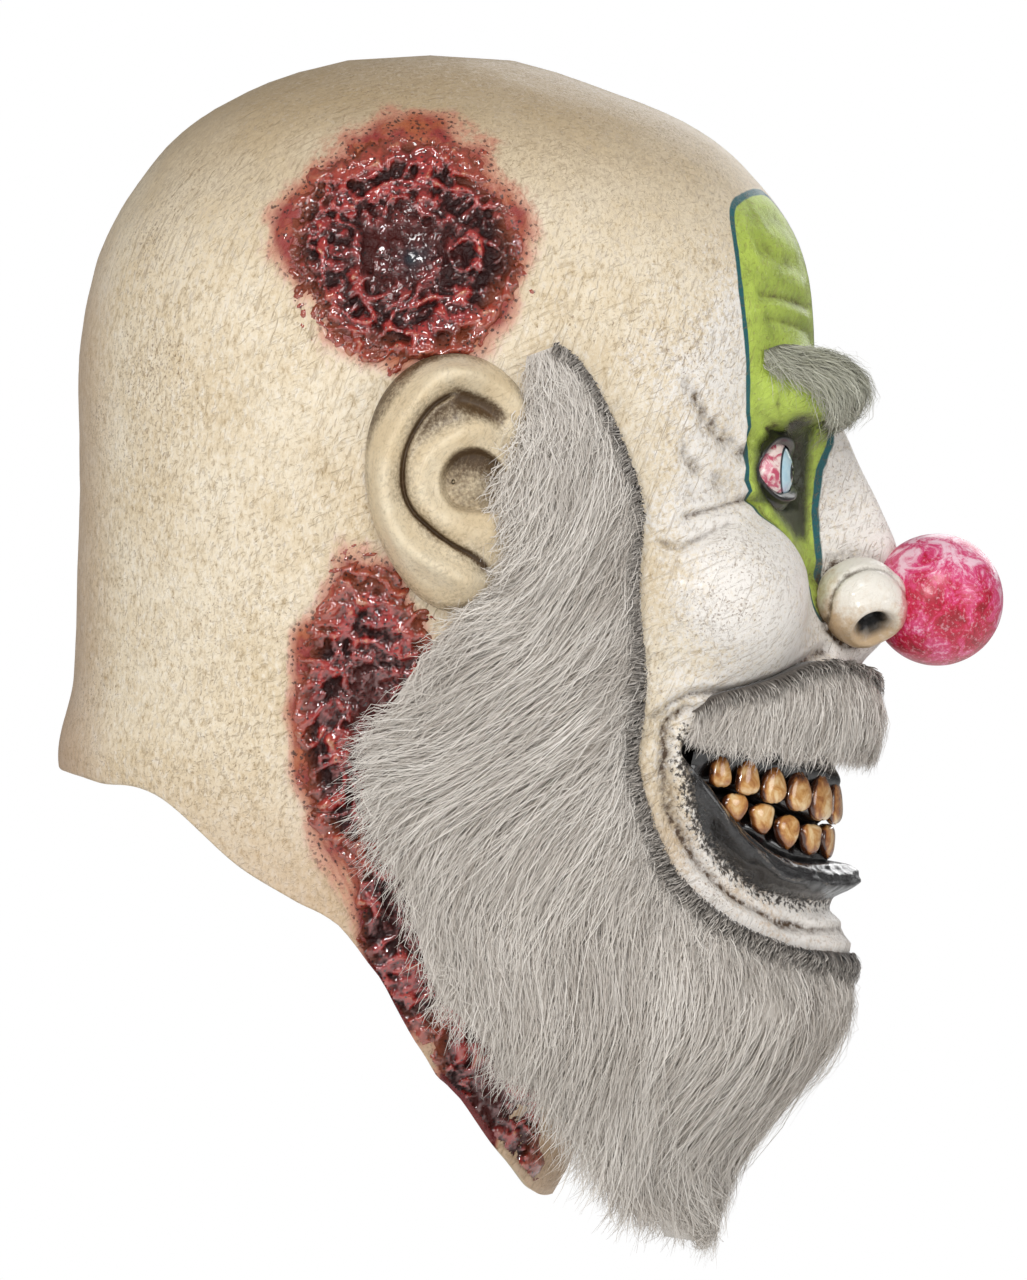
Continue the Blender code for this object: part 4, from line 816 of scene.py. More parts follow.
# Ears: cast with the skin
ear = {
    "centre": (0.034, 0.378), "height": 0.078, "width": 0.053, "egg": 0.14, "columns": 150, "rings": 66,
    # lines and outlines in the side view, (forward, up) in mm
    "helix": [(28, -105), (20, -99.5), (11, -97.5), (4, -99), (-2, -104.5), (-8, -113), (-12, -122), (-13.3, -132),
              (-11, -142.5), (-5, -151), (3, -156.5), (12, -160.5)],
    "groove": [(8, -103.4), (1.3, -107.8), (-4, -115), (-7.1, -122.9), (-7.5, -131.8), (-4.9, -138.8), (1.3, -145),
               (7.5, -149.5), (13.7, -153), (18.6, -157.4)],
    "fold": [(24, -113.5), (15, -115), (7.5, -117.6), (1.3, -122), (-2.2, -128.2), (-1.3, -135.3), (3.1, -140.6),
             (10.2, -144.1), (18.1, -145.9)],
    "fossa": [(11, -105.5), (17, -108), (21.5, -112.5)],
    "bowl": [(11.1, -120.2), (6.6, -122.9), (3.5, -128.2), (4.0, -134.4), (7.5, -138.8), (12.8, -140.2), (21, -139.7),
             (25, -133), (23, -125), (17, -120.4)],
}


def earMaterial():
    # same cast latex, cream with brown wash wiped into the folds, with painted shade there, on the turned-under edge
    # and at the top of the bowl
    material, tree, shader, coords = newMaterial("washedLatexEarWithPaintedShade", {
        "IOR": 1.5, "Roughness": 0.46, "Coat Weight": 0.12, "Coat Roughness": 0.25})
    bump, scratch = latexBump(tree, coords, 0.35)[:2]
    deep = addNode(tree, "Attribute", {"attribute_name": "deep"}).outputs["Fac"]
    blotch = addNode(tree, "TexNoise", {}, {"Vector": coords, "Scale": 60.0, "Detail": 6.0, "Roughness": 0.6})
    blotch = addNode(tree, "MapRange", {}, {"Value": blotch, "From Min": 0.4, "From Max": 0.66})
    colour = addNode(tree, "Mix", mixColour, {0: blotch, 6: "D9C4A0", 7: "E4D5B8"})
    specks = addNode(tree, "TexNoise", {}, {"Vector": coords, "Scale": 900.0, "Detail": 4.0, "Roughness": 0.7})
    washAndShade = addNode(tree, "Math", multiplyAdd, {0: specks, 1: 1.05, 2: deep})
    washAndShade = addNode(tree, "MapRange", smoothStep, {"Value": washAndShade, "From Min": 0.48, "From Max": 1.28})
    colour = addNode(tree, "Mix", mixColour, {0: washAndShade, 6: colour, 7: "4E3920"})
    scratches = addNode(tree, "Math", multiply, {0: scratch, 1: 0.25})
    colour = addNode(tree, "Mix", mixColour, {0: scratches, 6: colour, 7: "8E7350"})
    setInputs(tree, shader, {"Base Color": colour, "Normal": bump})
    return material


def makeEar(name, side, material):
    # egg-shaped rings; stand = plate + helix + fold - groove - fossa - sunken bowl, then a turned-under edge
    columns, rings = ear["columns"], ear["rings"]
    turn = np.linspace(0, 2 * math.pi, columns, endpoint=False)[:, None]
    under = np.array([1.0, 0.985, 0.95, 0.88, 0.74, 0.50])
    reach = np.concatenate([np.linspace(0.02, 0.995, rings), under])[None, :]
    isUnder = np.concatenate([np.zeros(rings), [0.35, 0.62, 0.85, 1.0, 1.0, 1.0]])[None, :]
    middle = place(0, *ear["centre"])
    egg = 1 + ear["egg"] * np.sin(turn)
    forward = middle[1] + reach * ear["width"] / 2 * np.cos(turn) * egg
    up = middle[2] + reach * ear["height"] / 2 * np.sin(turn)
    u, v = forward * 1000, up * 1000
    helix, groove, fold, fossa = (lineDistance(u, v, drawn(ear[key])) for key in ("helix", "groove", "fold", "fossa"))
    bowl = insideDistance(u, v, rounded(np.array(ear["bowl"], float), 6))
    spot = np.stack([forward, up, 0 * up], -1)
    rough = layeredNoise(spot, 0.010, 44 + side)
    ahead = smooth(u, 8, 27)
    plate = 8.8 - 6.2 * ahead - 2.0 * smooth(-v, 150, 168)
    stand = (plate + 6.6 * bell(helix, 4.2) * (1 - 0.55 * ahead) + 3.4 * bell(fold, 3.6) * (1 - 0.4 * ahead)
             - 2.6 * bell(groove, 0.85))
    stand = stand - 3.2 * bell(fossa, 2.8) - (5.8 - 2.6 * ahead) * smooth(bowl, -0.4, 2.6) + 0.5 * rough
    stand = stand * smooth(1.02 - reach, 0, 0.16) ** 0.45
    stand = np.where(isUnder > 0, stand[:, rings - 1:rings] * (1 - isUnder) - 1.4 * isUnder, stand) / 1000
    grid = sideSkin(side, forward, up, stand)
    rows = rings + len(under)
    points = np.vstack([grid.reshape(-1, 3), grid[:, 0].mean(0), grid[:, -1].mean(0)])
    faces = [gridFaces(columns, rows, True)[:, ::-1], poleCaps(columns, rows)]
    faces = outwards(points, faces, points.mean(0) - [side * 0.004, 0, 0])
    inner = smooth(groove, 0.6, 2.5) * smooth(fold, 0, 6) * smooth(v, -128, -112) * smooth(helix, 4, 7)
    tip = smooth(np.minimum(np.hypot(u - 8, v + 103.4), np.hypot(u - 18.6, v + 157.4)), 0.3, 3.5)
    # deep: brown wash with painted shade in the groove, the bowl (darker at its top), the fossa and between the folds;
    # the turned-under edge and the rim darker as painted shade
    deep = (1.15 * bell(groove, 0.55) * tip + (0.34 + 0.42 * smooth(v, -134, -121) + 0.14 * rough)
            * smooth(bowl, -0.8, 1.4) + 0.45 * bell(fossa, 3.0))
    deep = deep + 0.34 * bell(groove, 3.2) + 0.42 * inner + 0.16 * rough
    deep = deep + 0.5 * isUnder + 0.25 * bell(reach - 0.98, 0.03)
    return addPiece(name, points, faces, material,
                    {"deep": np.concatenate([np.clip(deep, 0, 1.2).reshape(-1), [deep[:, 0].mean(), 0.2]])})


earPaint = earMaterial()
makeEar("ear_right", -1, earPaint)
makeEar("ear_left", 1, earPaint)
print("ears made")

# Nose: a glued ball and two cast wings with open nostrils
nose = {
    "ball": (0.0, 0.694, 0.478), "diameter": 0.041, "wingSizes": (0.026, 0.0300, 0.0272),
    "nostril": (0.085, 0.606, 0.511), "nostrilRadius": 0.0066, "nostrilDepth": 0.0090,
    # painted groove round the wing in the side view, a dark line with painted shade, (forward, up) in mm
    "groove": [(121.8, -175), (123.1, -169.9), (124.6, -163.2), (129.3, -158.0), (136.4, -156.0), (142.8, -158.2),
               (147.6, -164.9), (149.2, -171.1), (147.2, -179.4)],
}


def ballGrid(columns, rows, axis):
    # unit sphere whose poles lie on an axis: cos t axis + sin t (cos a, sin a) across it
    axis = np.asarray(axis, float) / np.linalg.norm(axis)
    across = np.cross(axis, [0.3, 0.2, 1.0])
    across /= np.linalg.norm(across)
    other = np.cross(axis, across)
    turn = np.linspace(0, 2 * math.pi, columns, endpoint=False)[:, None, None]
    tilt = np.linspace(0, math.pi, rows)[None, :, None]
    return np.cos(tilt) * axis + np.sin(tilt) * (np.cos(turn) * across + np.sin(turn) * other)


def closedBall(grid):  # welds the two pole rings of a ball's grid into single points
    columns, rows = grid.shape[:2]
    points = np.vstack([grid[:, 1:-1].reshape(-1, 3), grid[0, 0], grid[0, -1]])
    return points, [gridFaces(columns, rows - 2, True)[:, ::-1], poleCaps(columns, rows - 2)]


def ballMaterial():
    # glossy red paint dabbed over pink latex, brown in the seam, paler on top as painted light from above
    material, tree, shader, coords = newMaterial("dabbedRedGloss", {
        "IOR": 1.5, "Roughness": 0.38, "Coat Weight": 0.35, "Coat Roughness": 0.22})
    seam = addNode(tree, "Attribute", {"attribute_name": "seam"}).outputs["Fac"]
    dab = addNode(tree, "TexNoise", {},
                  {"Vector": coords, "Scale": 120.0, "Detail": 8.0, "Roughness": 0.72, "Distortion": 0.9})
    wide = addNode(tree, "TexNoise", {}, {"Vector": coords, "Scale": 38.0, "Detail": 3.0})
    both = addNode(tree, "Math", multiplyAdd, {0: wide, 1: 0.6, 2: dab})
    # painted light from above: the upper half paler, set by height alone
    level = addNode(tree, "SeparateXYZ", {}, {0: coords}).outputs[2]
    level = addNode(tree, "MapRange", {},
                    {"Value": level, "From Min": -0.184, "From Max": -0.149, "To Min": -0.04, "To Max": 0.09})
    both = addNode(tree, "Math", adding, {0: both, 1: level})
    colour = addNode(tree, "ValToRGB", {}, {0: both})
    fillRamp(colour, ((0.64, "96001C"), (0.75, "C20A3A"), (0.85, "DC4A80"), (0.94, "F6CAD8")))
    fleck = addNode(tree, "TexNoise", {}, {"Vector": coords, "Scale": 900.0, "Detail": 3.0, "Roughness": 0.6})
    speckled = addNode(tree, "MapRange", {}, {"Value": fleck, "From Min": 0.54, "From Max": 0.68, "To Max": 0.45})
    for share, over in ((speckled, "F0C0CB"), (seam, "2E1512")):
        colour = addNode(tree, "Mix", mixColour, {0: share, 6: colour, 7: over})
    bump = addNode(tree, "Bump", {}, {"Strength": 0.22, "Distance": 0.0005, "Height": fleck})
    setInputs(tree, shader, {"Base Color": colour, "Normal": bump})
    return material


def wingMaterial():
    # cast latex, white paint worn to tan below; black in the nostril's dent as painted shade of the hole; a dark line
    # with painted shade in the groove
    material, tree, shader, coords = newMaterial("paintedLatexNoseWing", {
        "IOR": 1.5, "Roughness": 0.40, "Coat Weight": 0.3, "Coat Roughness": 0.15})
    hole, low, tip, line, beyond = (addNode(tree, "Attribute", {"attribute_name": name}).outputs["Fac"]
                                    for name in ("hole", "low", "tip", "line", "beyond"))
    bump = latexBump(tree, coords, 0.5)[0]
    fleck = addNode(tree, "TexNoise", {}, {"Vector": coords, "Scale": 420.0, "Detail": 5.0, "Roughness": 0.7})
    worn = addNode(tree, "Math", multiplyAdd, {0: fleck, 1: 1.6, 2: low})
    worn = addNode(tree, "Math", multiplyAdd, {0: beyond, 1: 0.4, 2: worn})
    worn = addNode(tree, "MapRange", smoothStep, {"Value": worn, "From Min": 0.75, "From Max": 1.85, "To Max": 0.85})
    colour = addNode(tree, "Mix", mixColour, {0: worn, 6: "EFE9DE", 7: "BE9A68"})
    grooveLineAndShade = addNode(tree, "Math", multiplyAdd, {0: fleck, 1: 0.9, 2: line})
    grooveLineAndShade = addNode(tree, "MapRange", smoothStep,
                     {"Value": grooveLineAndShade, "From Min": 0.78, "From Max": 1.30, "To Max": 0.85})
    red = addNode(tree, "Math", multiplyAdd, {0: fleck, 1: 0.8, 2: tip})
    red = addNode(tree, "MapRange", smoothStep, {"Value": red, "From Min": 0.95, "From Max": 1.35, "To Max": 0.8})
    for share, over in ((grooveLineAndShade, "4A3A28"), (red, "CC5A66"), (hole, "0C0A0A")):
        colour = addNode(tree, "Mix", mixColour, {0: share, 6: colour, 7: over})
    setInputs(tree, shader, {"Base Color": colour, "Normal": bump})
    return material


def makeNose():
    centre = place(*nose["ball"])
    grid = ballGrid(96, 56, [0, 1, 0])
    radius = nose["diameter"] / 2
    points = centre + grid * radius * (1 + 0.010 * layeredNoise(grid, 0.7, 7))[..., None]
    shape, faces = closedBall(points)
    seam = smooth(-(shape[:, 1] - centre[1]) / radius, 0.78, 0.86)
    addPiece("red_nose", shape, outwards(shape, faces, centre), ballMaterial(),
             {"seam": seam}, ("nose_ball",))
    paintWing = wingMaterial()
    for label, side in (("right", -1), ("left", 1)):
        centre = place(side * head["noseWing"][0], *head["noseWing"][1:])
        hole = place(side * nose["nostril"][0], *nose["nostril"][1:]) + [side * 0.0065, 0.0010, 0.0005]
        radii = np.array(nose["wingSizes"]) / 2
        axis = (hole - centre) / radii
        shape, faces = closedBall(ballGrid(88, 64, axis))
        unit = shape.copy()
        shape = centre + shape * radii * (1 + 0.060 * layeredNoise(shape, 0.8, 13))[..., None]
        away = np.linalg.norm(shape - (centre + axis / np.linalg.norm(axis) * radii), axis=-1)
        dent = smooth(1 - away / (nose["nostrilRadius"] * 1.25), 0, 0.45)
        rimUp = bell(away - nose["nostrilRadius"] * 1.55, 0.0013)
        shape = shape - (unit * dent[:, None]) * nose["nostrilDepth"] + unit * (rimUp * 0.0005)[:, None]
        off = lineDistance(shape[:, 1] * 1000, shape[:, 2] * 1000, drawn(nose["groove"]))
        facing = smooth(unit[:, 0] * side, -0.1, 0.25)
        shape = shape - unit * (0.0006 * bell(off, 0.8) * facing)[:, None]
        beyond = facing * smooth(0.1 - (shape[:, 1] * 1000 - 127) * 0.1, 0, 0.4)
        line = (0.20 * bell(off, 0.6) + 0.45 * bell(off, 1.7)) * (1 + 0.5 * valueNoise(shape, 0.004, 19)) * facing
        # hole: near-black in the nostril's dent, painted shade for the open hole; line: dark groove line with painted
        # shade
        attributes = {"line": line, "beyond": beyond, "hole": smooth(dent, 0.15, 0.55),
                      "low": smooth(-(shape[:, 2] - centre[2]), -0.004, 0.014),
                      "tip": smooth(shape[:, 1] - centre[1], 0.006, 0.016)}
        addPiece("nose_wing_" + label, shape, outwards(shape, faces, centre), paintWing,
                 attributes)


makeNose()
print("nose made")

# Eyes: gloss plastic eyeballs behind painted lids
eyes = {"iris": 30, "pupil": 11, "upper": 31, "lower": 26, "corner": 0.70, "lid": 0.0013}


def eyeMaterial():
    # gloss plastic eyeball: pink veined white, pale blue iris with spokes, black pupil, by degrees off the gaze
    material, tree, shader, coords = newMaterial("glossPlasticEyeball", {
        "IOR": 1.49, "Roughness": 0.15, "Coat Weight": 1.0, "Coat Roughness": 0.03})
    gaze = addNode(tree, "Attribute", {"attribute_name": "gaze"}).outputs["Fac"]
    vein = addNode(tree, "TexNoise", {}, {"Vector": coords, "Scale": 260.0, "Detail": 5.0, "Distortion": 1.6})
    wide = addNode(tree, "TexNoise", {}, {"Vector": coords, "Scale": 110.0, "Detail": 2.0})
    pink = addNode(tree, "Math", multiplyAdd, {0: wide, 1: 0.8, 2: vein})
    pink = addNode(tree, "MapRange", smoothStep, {"Value": pink, "From Min": 0.86, "From Max": 1.06})
    colour = addNode(tree, "Mix", mixColour, {0: pink, 6: "F2DCD6", 7: "C2506A"})
    iris, pupil = eyes["iris"], eyes["pupil"]
    inIris = addNode(tree, "MapRange", {}, {"Value": gaze, "From Min": iris + 1.5, "From Max": iris - 0.5})
    spoke = addNode(tree, "Mix", mixColour, {0: vein, 6: "8FC3DA", 7: "DDF1F6"})
    ring = addNode(tree, "Math", {"operation": "SUBTRACT"}, {0: gaze, 1: float(iris)})
    ring = addNode(tree, "Math", {"operation": "ABSOLUTE"}, {0: ring})
    ring = addNode(tree, "MapRange", {}, {"Value": ring, "From Min": 2.2, "From Max": 1.0})
    inPupil = addNode(tree, "MapRange", {}, {"Value": gaze, "From Min": pupil + 1.0, "From Max": pupil - 0.5})
    for share, over in ((inIris, spoke), (ring, "1C2C38"), (inPupil, "050505")):
        colour = addNode(tree, "Mix", mixColour, {0: share, 6: colour, 7: over})
    setInputs(tree, shader, {"Base Color": colour})
    return material


def lidMaterial():
    # black paint wiped over green latex, glossy at the margin
    material, tree, shader, coords = newMaterial("blackenedLatexLid", {
        "IOR": 1.5, "Roughness": 0.34, "Coat Weight": 0.5, "Coat Roughness": 0.12})
    margin = addNode(tree, "Attribute", {"attribute_name": "margin"}).outputs["Fac"]
    wipe = addNode(tree, "TexNoise", {}, {"Vector": coords, "Scale": 300.0, "Detail": 6.0, "Roughness": 0.7})
    share = addNode(tree, "Math", adding, {0: wipe, 1: margin})
    share = addNode(tree, "MapRange", smoothStep, {"Value": share, "From Min": 1.40, "From Max": 0.90})
    colour = addNode(tree, "Mix", mixColour, {0: share, 6: "77863A", 7: "14120F"})
    bump = addNode(tree, "Bump", {}, {"Strength": 0.5, "Distance": 0.0005, "Height": wipe})
    setInputs(tree, shader, {"Base Color": colour, "Normal": bump})
    return material


def makeEyes():
    eyePaint, lidPaint = eyeMaterial(), lidMaterial()
    for label, side in (("right", -1), ("left", 1)):
        centre = place(side * head["eye"][0], *head["eye"][1:]) - [0, 0.0016, 0]
        gaze = np.array([side * 0.20, 1.0, -0.02])
        gaze /= np.linalg.norm(gaze)
        shape, faces = closedBall(ballGrid(64, 44, gaze))
        angle = np.degrees(np.arccos(np.clip(shape @ gaze, -1, 1)))
        bulge = 1 + 0.030 * bell(angle, 20)
        points = centre + shape * (head["eyeRadius"] * bulge)[:, None]
        addPiece("eyeball_" + label, points, outwards(points, faces, centre), eyePaint,
                 {"gaze": angle}, ("eye_" + label,))
        # lids: a shell round the ball, margin at elevation +-opening cos(azimuth), rolled inwards at the edge
        out = np.array([side * 0.55, 0.83, 0.0])
        out /= np.linalg.norm(out)
        across = np.array([-side * out[1], side * out[0], 0.0])
        for lidName, sign in (("upper", 1), ("lower", -1)):
            azimuth = np.sort(np.concatenate([np.linspace(-1.45, 1.45, 40), np.linspace(-0.75, 0.75, 32)]))[:, None]
            back = np.linspace(0, 1, 22)[None, :]
            corner = np.where(azimuth > 0, 1.2, eyes["corner"])
            margin = np.radians(eyes[lidName]) * np.clip(1 - (azimuth / corner) ** 2, 0, 1) ** 0.75
            elevation = sign * (margin + (1.25 - margin) * back ** 1.3) + 0.02
            shut = 1 - smooth(margin, 0.02, 0.16)
            radius = (head["eyeRadius"] + eyes["lid"] * (0.25 + 1.1 * np.maximum(smooth(back, 0, 0.12), shut))
                      + 0.0012 * bell(back - 0.16, 0.10) * (1 - shut))
            ray = ((np.cos(elevation) * np.cos(azimuth))[..., None] * out
                   + (np.cos(elevation) * np.sin(azimuth))[..., None] * across)
            ray = ray + np.sin(elevation)[..., None] * np.array([0, 0, 1.0])
            grid = centre + ray * radius[..., None]
            faces = outwards(grid.reshape(-1, 3), [gridFaces(*grid.shape[:2])], centre)
            addPiece(f"{lidName}_lid_{label}", grid.reshape(-1, 3), faces, lidPaint,
                     {"margin": back * 0.9 + 0.35 * shut})


makeEyes()
print("eyes made")

# Teeth and gums: cast resin teeth, stained, pressed into black gums
mouth = {
    "gumDepth": 0.006, "gumThickness": 0.011, "gap": 0.0004, "toothThickness": 0.0048, "toothWidth": 0.0130,
    "upperLength": 0.0134, "lowerLength": 0.0108,
    "toothColumns": 26, "toothLevels": 20, "gumColumns": 200, "gumRows": 28,
    # angle, width, length, drop of each tooth from the middle back
    "upper": np.array([[6.5, 1.00, 1.00, 0.656], [16.3, 0.98, 1.06, 0.651], [24.5, 0.84, 0.94, 0.645],
                       [31.3, 0.76, 0.86, 0.639], [37.0, 0.72, 0.84, 0.632], [42.2, 0.62, 0.74, 0.627]]),
    "lower": np.array([[7.5, 0.98, 1.00, 0.6905], [17.8, 0.92, 0.90, 0.6880], [26.0, 0.80, 0.98, 0.6810],
                       [32.8, 0.74, 0.86, 0.6695], [38.7, 0.68, 0.80, 0.6590]]),
}


def archPoint(angle, drop, depth):
    # a point of the tooth arch, a depth below the bare head's section, and the way out from it
    row = rowAt(drop)
    ahead = bareHead(angle + 1e-3, row) - bareHead(angle - 1e-3, row)
    outward = normalised(np.stack([-ahead[..., 1], ahead[..., 0], np.zeros_like(ahead[..., 0])], -1))
    return bareHead(angle, row) - outward * np.asarray(depth)[..., None], outward


def toothMaterial():
    # cast resin under varnish: ochre and brown stains, darker at root and edges
    material, tree, shader, coords = newMaterial("varnishedResinTooth", {
        "IOR": 1.52, "Roughness": 0.22, "Coat Weight": 1.0, "Coat Roughness": 0.06})
    root, edge = (addNode(tree, "Attribute", {"attribute_name": name}).outputs["Fac"] for name in ("root", "edge"))
    stain = addNode(tree, "TexNoise", {},
                    {"Vector": coords, "Scale": 170.0, "Detail": 5.0, "Roughness": 0.6, "Distortion": 0.6})
    both = addNode(tree, "Math", multiplyAdd, {0: root, 1: 0.22, 2: stain})
    both = addNode(tree, "Math", multiplyAdd, {0: edge, 1: 0.30, 2: both})
    colour = addNode(tree, "ValToRGB", {}, {0: both})
    fillRamp(colour, ((0.38, "EBCB98"), (0.50, "CF9A58"), (0.62, "A5662E"), (0.80, "4A2410")))
    bump = addNode(tree, "Bump", {}, {"Strength": 0.25, "Distance": 0.0004, "Height": stain})
    setInputs(tree, shader, {"Base Color": colour, "Normal": bump})
    return material


def gumMaterial():
    # black gloss paint over latex with a little dark red showing
    material, tree, shader, coords = newMaterial("blackGlossLatex", {
        "IOR": 1.5, "Roughness": 0.25, "Coat Weight": 1.0, "Coat Roughness": 0.06})
    mottle = addNode(tree, "TexNoise", {},
                     {"Vector": coords, "Scale": 240.0, "Detail": 5.0, "Roughness": 0.65, "Distortion": 0.7})
    red = addNode(tree, "MapRange", smoothStep, {"Value": mottle, "From Min": 0.58, "From Max": 0.78, "To Max": 0.7})
    colour = addNode(tree, "Mix", mixColour, {0: red, 6: "0E0C0C", 7: "4A1516"})
    bump = addNode(tree, "Bump", {}, {"Strength": 0.7, "Distance": 0.0007, "Height": mottle})
    setInputs(tree, shader, {"Base Color": colour, "Normal": bump})
    return material


def makeTooth(name, tooth, side, length, above, material, seed):
    # rounded box: powers 0.72 to 0.9 of sines and cosines, tapered towards the root, chipped by low noise
    centre, outward = archPoint(np.array(math.radians(tooth[0]) * side), np.array(tooth[3]),
                                mouth["gumDepth"] - mouth["gap"] - mouth["toothThickness"] / 2)
    across = np.cross(outward, [0, 0, 1])
    half = np.array([mouth["toothWidth"] * tooth[1], mouth["toothThickness"], length * tooth[2]]) / 2
    columns, levels = mouth["toothColumns"], mouth["toothLevels"]
    turn = np.linspace(0, 2 * math.pi, columns, endpoint=False)[:, None]
    level = np.linspace(0, math.pi, levels + 2)[None, 1:-1]
    high = signedPower(np.cos(level), 0.80)
    girth = np.sin(level) ** 0.72
    taper = (0.86 - 0.26 * high) * (1 - 0.10 * smooth(high, 0.3, 1))
    flat = 0 * turn + 0 * level
    chip = 1 + 0.10 * valueNoise(np.stack([np.cos(turn) + flat, high + flat, flat], -1), 0.9, seed)
    uneven = 1 + 0.06 * valueNoise(np.stack([np.cos(turn) * 2 + flat, high + flat, 3 + flat], -1), 0.8, seed + 1)
    x = half[0] * girth * taper * signedPower(np.cos(turn), 0.85) * chip * 1.12
    y = half[1] * girth * (0.95 - 0.10 * high) * signedPower(np.sin(turn), 0.9)
    z = half[2] * high * uneven
    grid = centre + across * x[..., None] + outward * y[..., None] + np.array([0, 0, 1.0]) * (z * above)[..., None]
    tips = centre + np.outer([half[2], -half[2]], [0, 0, above])
    points = np.vstack([grid.reshape(-1, 3), tips])
    faces = [gridFaces(columns, levels, True), poleCaps(columns, levels)[:, ::-1]]
    faces = outwards(points, faces, centre)
    root = np.concatenate([(smooth(high, 0.1, 1.0) + 0 * turn).reshape(-1), [1, 0]])
    edge = np.concatenate([(smooth(np.abs(np.cos(turn)), 0.72, 1.0) + 0 * level).reshape(-1), [0, 0]])
    return addPiece(name, points, faces, material, {"root": root, "edge": edge},
                    (name.replace("stained_", ""),))


def makeGum(name, table, length, above, material):
    # arch ridge whose face bulges round each root: depth = face - bulge * bell(angle to the nearest tooth)
    reach = math.radians(table[-1, 0] * 1.10)
    angle = np.linspace(-reach, reach, mouth["gumColumns"])[:, None]
    degrees = np.degrees(np.abs(angle))
    middle = curve(degrees, table[:, 0], table[:, 3])
    tall = length * curve(degrees, table[:, 0], table[:, 2]) / head["height"]
    profile = np.array([[-0.60, 1.0], [-0.52, 0.30], [-0.30, 0.02], [0.0, -0.02], [0.22, -0.10], [0.40, -0.20],
                        [0.56, -0.22], [0.75, -0.10], [1.10, 0.10], [1.35, 0.60], [1.40, 1.0]])
    steps = np.linspace(0, len(profile) - 1, mouth["gumRows"])[None, :]
    index = np.arange(len(profile))
    high, back = curve(steps, index, profile[:, 0]), curve(steps, index, profile[:, 1])
    nearest = np.min([np.abs(degrees - t) / (4.0 * w) for t, w in table[:, :2]], axis=0)
    collar = bell(nearest, 0.9) * smooth(high, 0.05, 0.35) * smooth(1.1 - high, 0, 0.5)
    spot = np.stack([angle * 0.08 + 0 * steps, high * 0.01 + 0 * angle, 0 * angle + 0 * steps], -1)
    rough = 0.0007 * layeredNoise(spot, 0.0045, 91)
    depth = (mouth["gumDepth"] + back * mouth["gumThickness"] * 0.75 + 0 * angle - 0.0014 * collar
             + 0.0010 * (1 - bell(nearest, 0.9)) * smooth(high, 0, 0.3) + rough)
    drop = middle - above * high * tall
    grid, outward = archPoint(angle + 0 * steps, drop, depth)
    faces = outwards(grid.reshape(-1, 3), [gridFaces(*grid.shape[:2])], grid.mean((0, 1)))
    return addPiece(name, grid.reshape(-1, 3), faces, material, {}, (name.replace("glossy_", ""),))


def makeMouth():
    toothPaint, gumPaint = toothMaterial(), gumMaterial()
    for rowName, length, above in (("upper", mouth["upperLength"], 1), ("lower", mouth["lowerLength"], -1)):
        makeGum("glossy_" + rowName + "_gum", mouth[rowName], length, above, gumPaint)
        for sideName, side in (("right", -1), ("left", 1)):
            for number, tooth in enumerate(mouth[rowName], 1):
                makeTooth(f"stained_{rowName}_tooth_{sideName}_{number}", tooth, side, length, above, toothPaint,
                          number * 7 + above + 3 * side)


makeMouth()
print("teeth and gums made")

